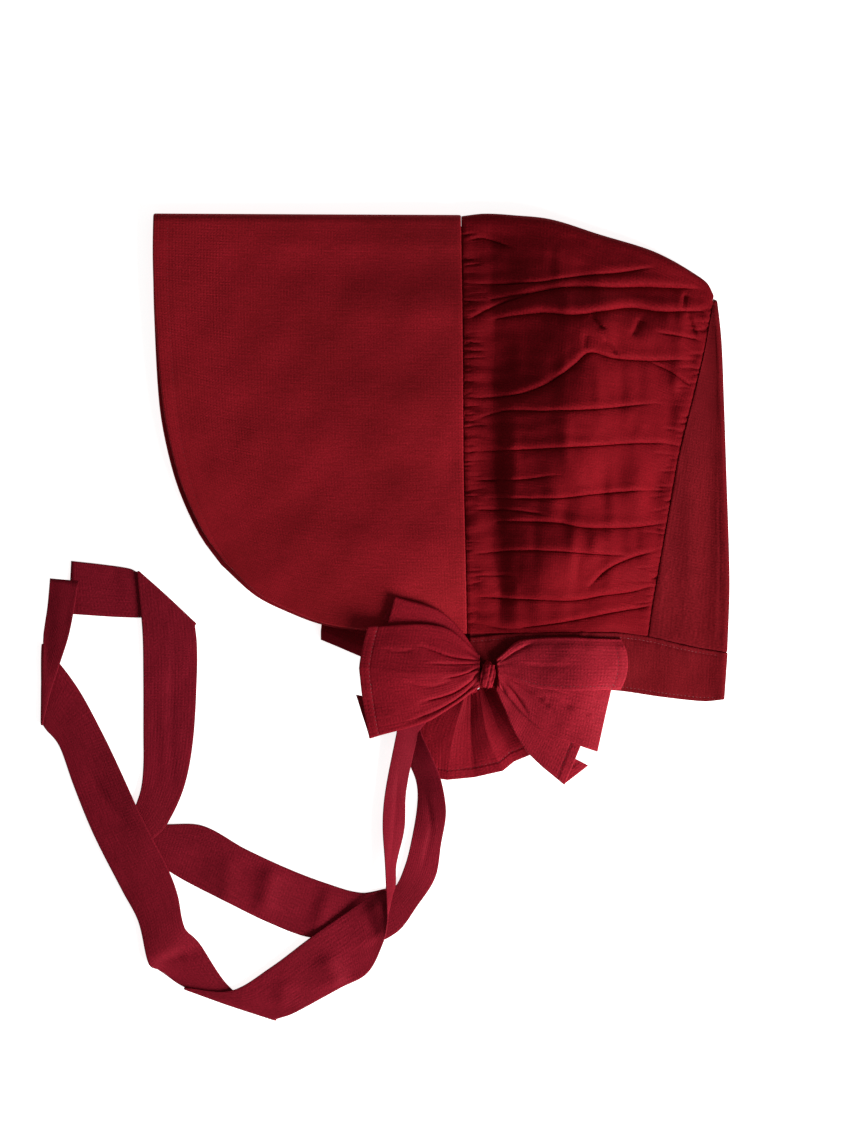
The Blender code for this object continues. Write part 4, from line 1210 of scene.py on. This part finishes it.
# Soft creases across and along the ties
nearTieCreases = [Fold([(-62, -234), (-60, -218)], -0.8, 9.0, 6.0),
                  Fold([(-28, -223), (-36, -203)], -1.8, 12.0, 6.0),
                  Fold([(-4, -192), (-13, -172)], 1.1, 4.0, 6.0),
                  Fold([(6, -192), (-6, -168)], -3.0, 18.0, 8.0),
                  Fold([(-108, -196), (-124, -203), (-141, -208)], 1.1, 2.4, 4.0),
                  Fold([(-150, -128), (-166, -112), (-178, -92)], 0.5, 4.0, 6.0),
                  Fold([(8, -92), (6, -120), (3, -150)], 0.5, 2.4, 3.0)]
farTieCreases = [Fold([(-96, -174), (-93, -143)], -0.7, 9.0, 7.0),
                 Fold([(-73, -178), (-67, -149)], -1.6, 12.0, 7.0),
                 Fold([(-41, -190), (-33, -162)], -0.9, 9.0, 6.0),
                 Fold([(-127, -108), (-129, -60), (-127, -12)], 0.4, 4.0, 5.0),
                 Fold([(-136, -100), (-138, -50)], 0.3, 4.0, 5.0),
                 Fold([(24, -104), (28, -125), (22, -152)], 0.5, 2.6, 3.5),
                 Fold([(-160, 3), (-163, 30)], 0.5, 3.0, 5.0)]


def tieKnots(rungs):
    # each turn becomes a half round of rungs
    knots = []
    for index, rung in enumerate(rungs):
        left = np.array(rung.left, dtype=float)
        right = np.array(rung.right, dtype=float)
        if not rung.turn:
            knots.append(np.concatenate([left, right]))
            continue
        before = rungs[index - 1]
        middle = (np.array(before.left[:2]) + np.array(before.right[:2])) / 2
        line = (right - left)[:2]
        normal = np.array([-line[1], line[0]]) / np.linalg.norm(line)
        if normal @ (middle - left[:2]) < 0:
            normal = -normal
        for angle in (-90, -45, 0, 45, 90):
            turn = math.radians(angle)
            inward = normal * tieShape["turnRadius"] * (1 - math.cos(turn))
            shift = np.array([inward[0], inward[1],
                              rung.turn * tieShape["turnRadius"] * math.sin(turn)])
            knots.append(np.concatenate([left + shift, right + shift]))
    return np.array(knots)


def layTie(name, node, rungs, creases, seed):
    knots = tieKnots(rungs)
    curve = smoothCurve(knots)
    length = tieShape["length"]
    shares = [curve.marks[0]]
    for low, high in zip(curve.marks, curve.marks[1:]):
        steps = max(2, int(math.ceil((high - low) * length / tieShape["step"])))
        shares += list(np.linspace(low, high, steps + 1)[1:])
    shares = np.array(shares)
    edges = curve(shares)
    left = edges[:, None, :3]
    right = edges[:, None, 3:]
    across = edgedSteps(tieShape["acrossSteps"], 0.015)[None, :, None]
    points = left * (1 - across) + right * across
    points = points.transpose(1, 0, 2)
    normal = normalsOf(points)
    normal = normal * np.sign(normal[..., 2:3] + 1e-9)
    share = np.broadcast_to(across[0], points.shape[:2])
    down = np.broadcast_to((shares * length)[None, :], points.shape[:2])
    middle = 4 * share * (1 - share)
    soft = 0.5 * tieShape["ripple"] * ripples(down, share * 30, seed, 8, 18, 60)
    points = points + normal * ((tieShape["crown"] + soft) * middle)[..., None]
    points = points + foldRelief(points[..., 0], points[..., 1], creases)
    points[..., 2] = np.maximum(points[..., 2], tieShape["thickness"] / 2 + 0.02)
    piece = clothPiece(name, points, tieShape["thickness"], tieCotton, 0.5)
    dress(piece, node)


layTie("nearTieCloth", "near_tie", nearTieRungs, nearTieCreases, 81)
layTie("farTieCloth", "far_tie", farTieRungs, farTieCreases, 83)
print("ties made")


# Floor, light and surroundings

studio = {"floorColour": "#F4F2F0", "floorSize": 6.0, "floorGlow": 0.8, "worldStrength": 0.2,
          "worldColour": "#FFFFFF", "keyEnergy": 42.0, "keySize": 0.8, "keyPlace": (1.0, -0.78, 0.58),
          "fillEnergy": 2.0, "fillSize": 2.0, "fillPlace": (-0.9, 1.0, 1.9),
          "aim": (0.03, 0.03, 0.0), "floorDrop": 0.0003}


def layFloor(look):
    half = look["floorSize"] / 2
    mesh = bpy.data.meshes.new("studioFloor")
    corners = [(x * half, y * half, -look["floorDrop"])
               for x, y in ((-1, -1), (1, -1), (1, 1), (-1, 1))]
    mesh.from_pydata(corners, [], [(0, 1, 2, 3)])
    floor = newObject("studioFloor", mesh)
    made = bpy.data.materials.new("matPaperFloor")
    made.use_nodes = True
    shader = made.node_tree.nodes["Principled BSDF"]
    shader.inputs["Base Color"].default_value = hexColour(look["floorColour"])
    shader.inputs["Roughness"].default_value = 0.9
    shader.inputs["Specular IOR Level"].default_value = 0.1
    shader.inputs["Emission Color"].default_value = hexColour("#FFFFFF")
    shader.inputs["Emission Strength"].default_value = look["floorGlow"]
    mesh.materials.append(made)


def hangLight(name, place, energy, size):
    data = bpy.data.lights.new(name, "AREA")
    data.shape = "DISK"
    data.size = size
    data.energy = energy
    light = newObject(name, data)
    light.location = place
    aim = np.array(studio["aim"]) - np.array(place)
    aim = aim / np.linalg.norm(aim)
    pitch = math.acos(-aim[2])
    turn = math.atan2(aim[1], aim[0]) - math.pi / 2
    light.rotation_euler = (pitch, 0.0, turn)


layFloor(studio)
for kind in ("key", "fill"):
    hangLight(kind + "Light", studio[kind + "Place"], studio[kind + "Energy"],
              studio[kind + "Size"])
world = bpy.data.worlds.new("studioAir")
world.use_nodes = True
sky = world.node_tree.nodes["Background"].inputs
sky["Color"].default_value = hexColour(studio["worldColour"])
sky["Strength"].default_value = studio["worldStrength"]
bpy.context.scene.world = world
bpy.context.scene.view_settings.view_transform = "Standard"
print("studio set")
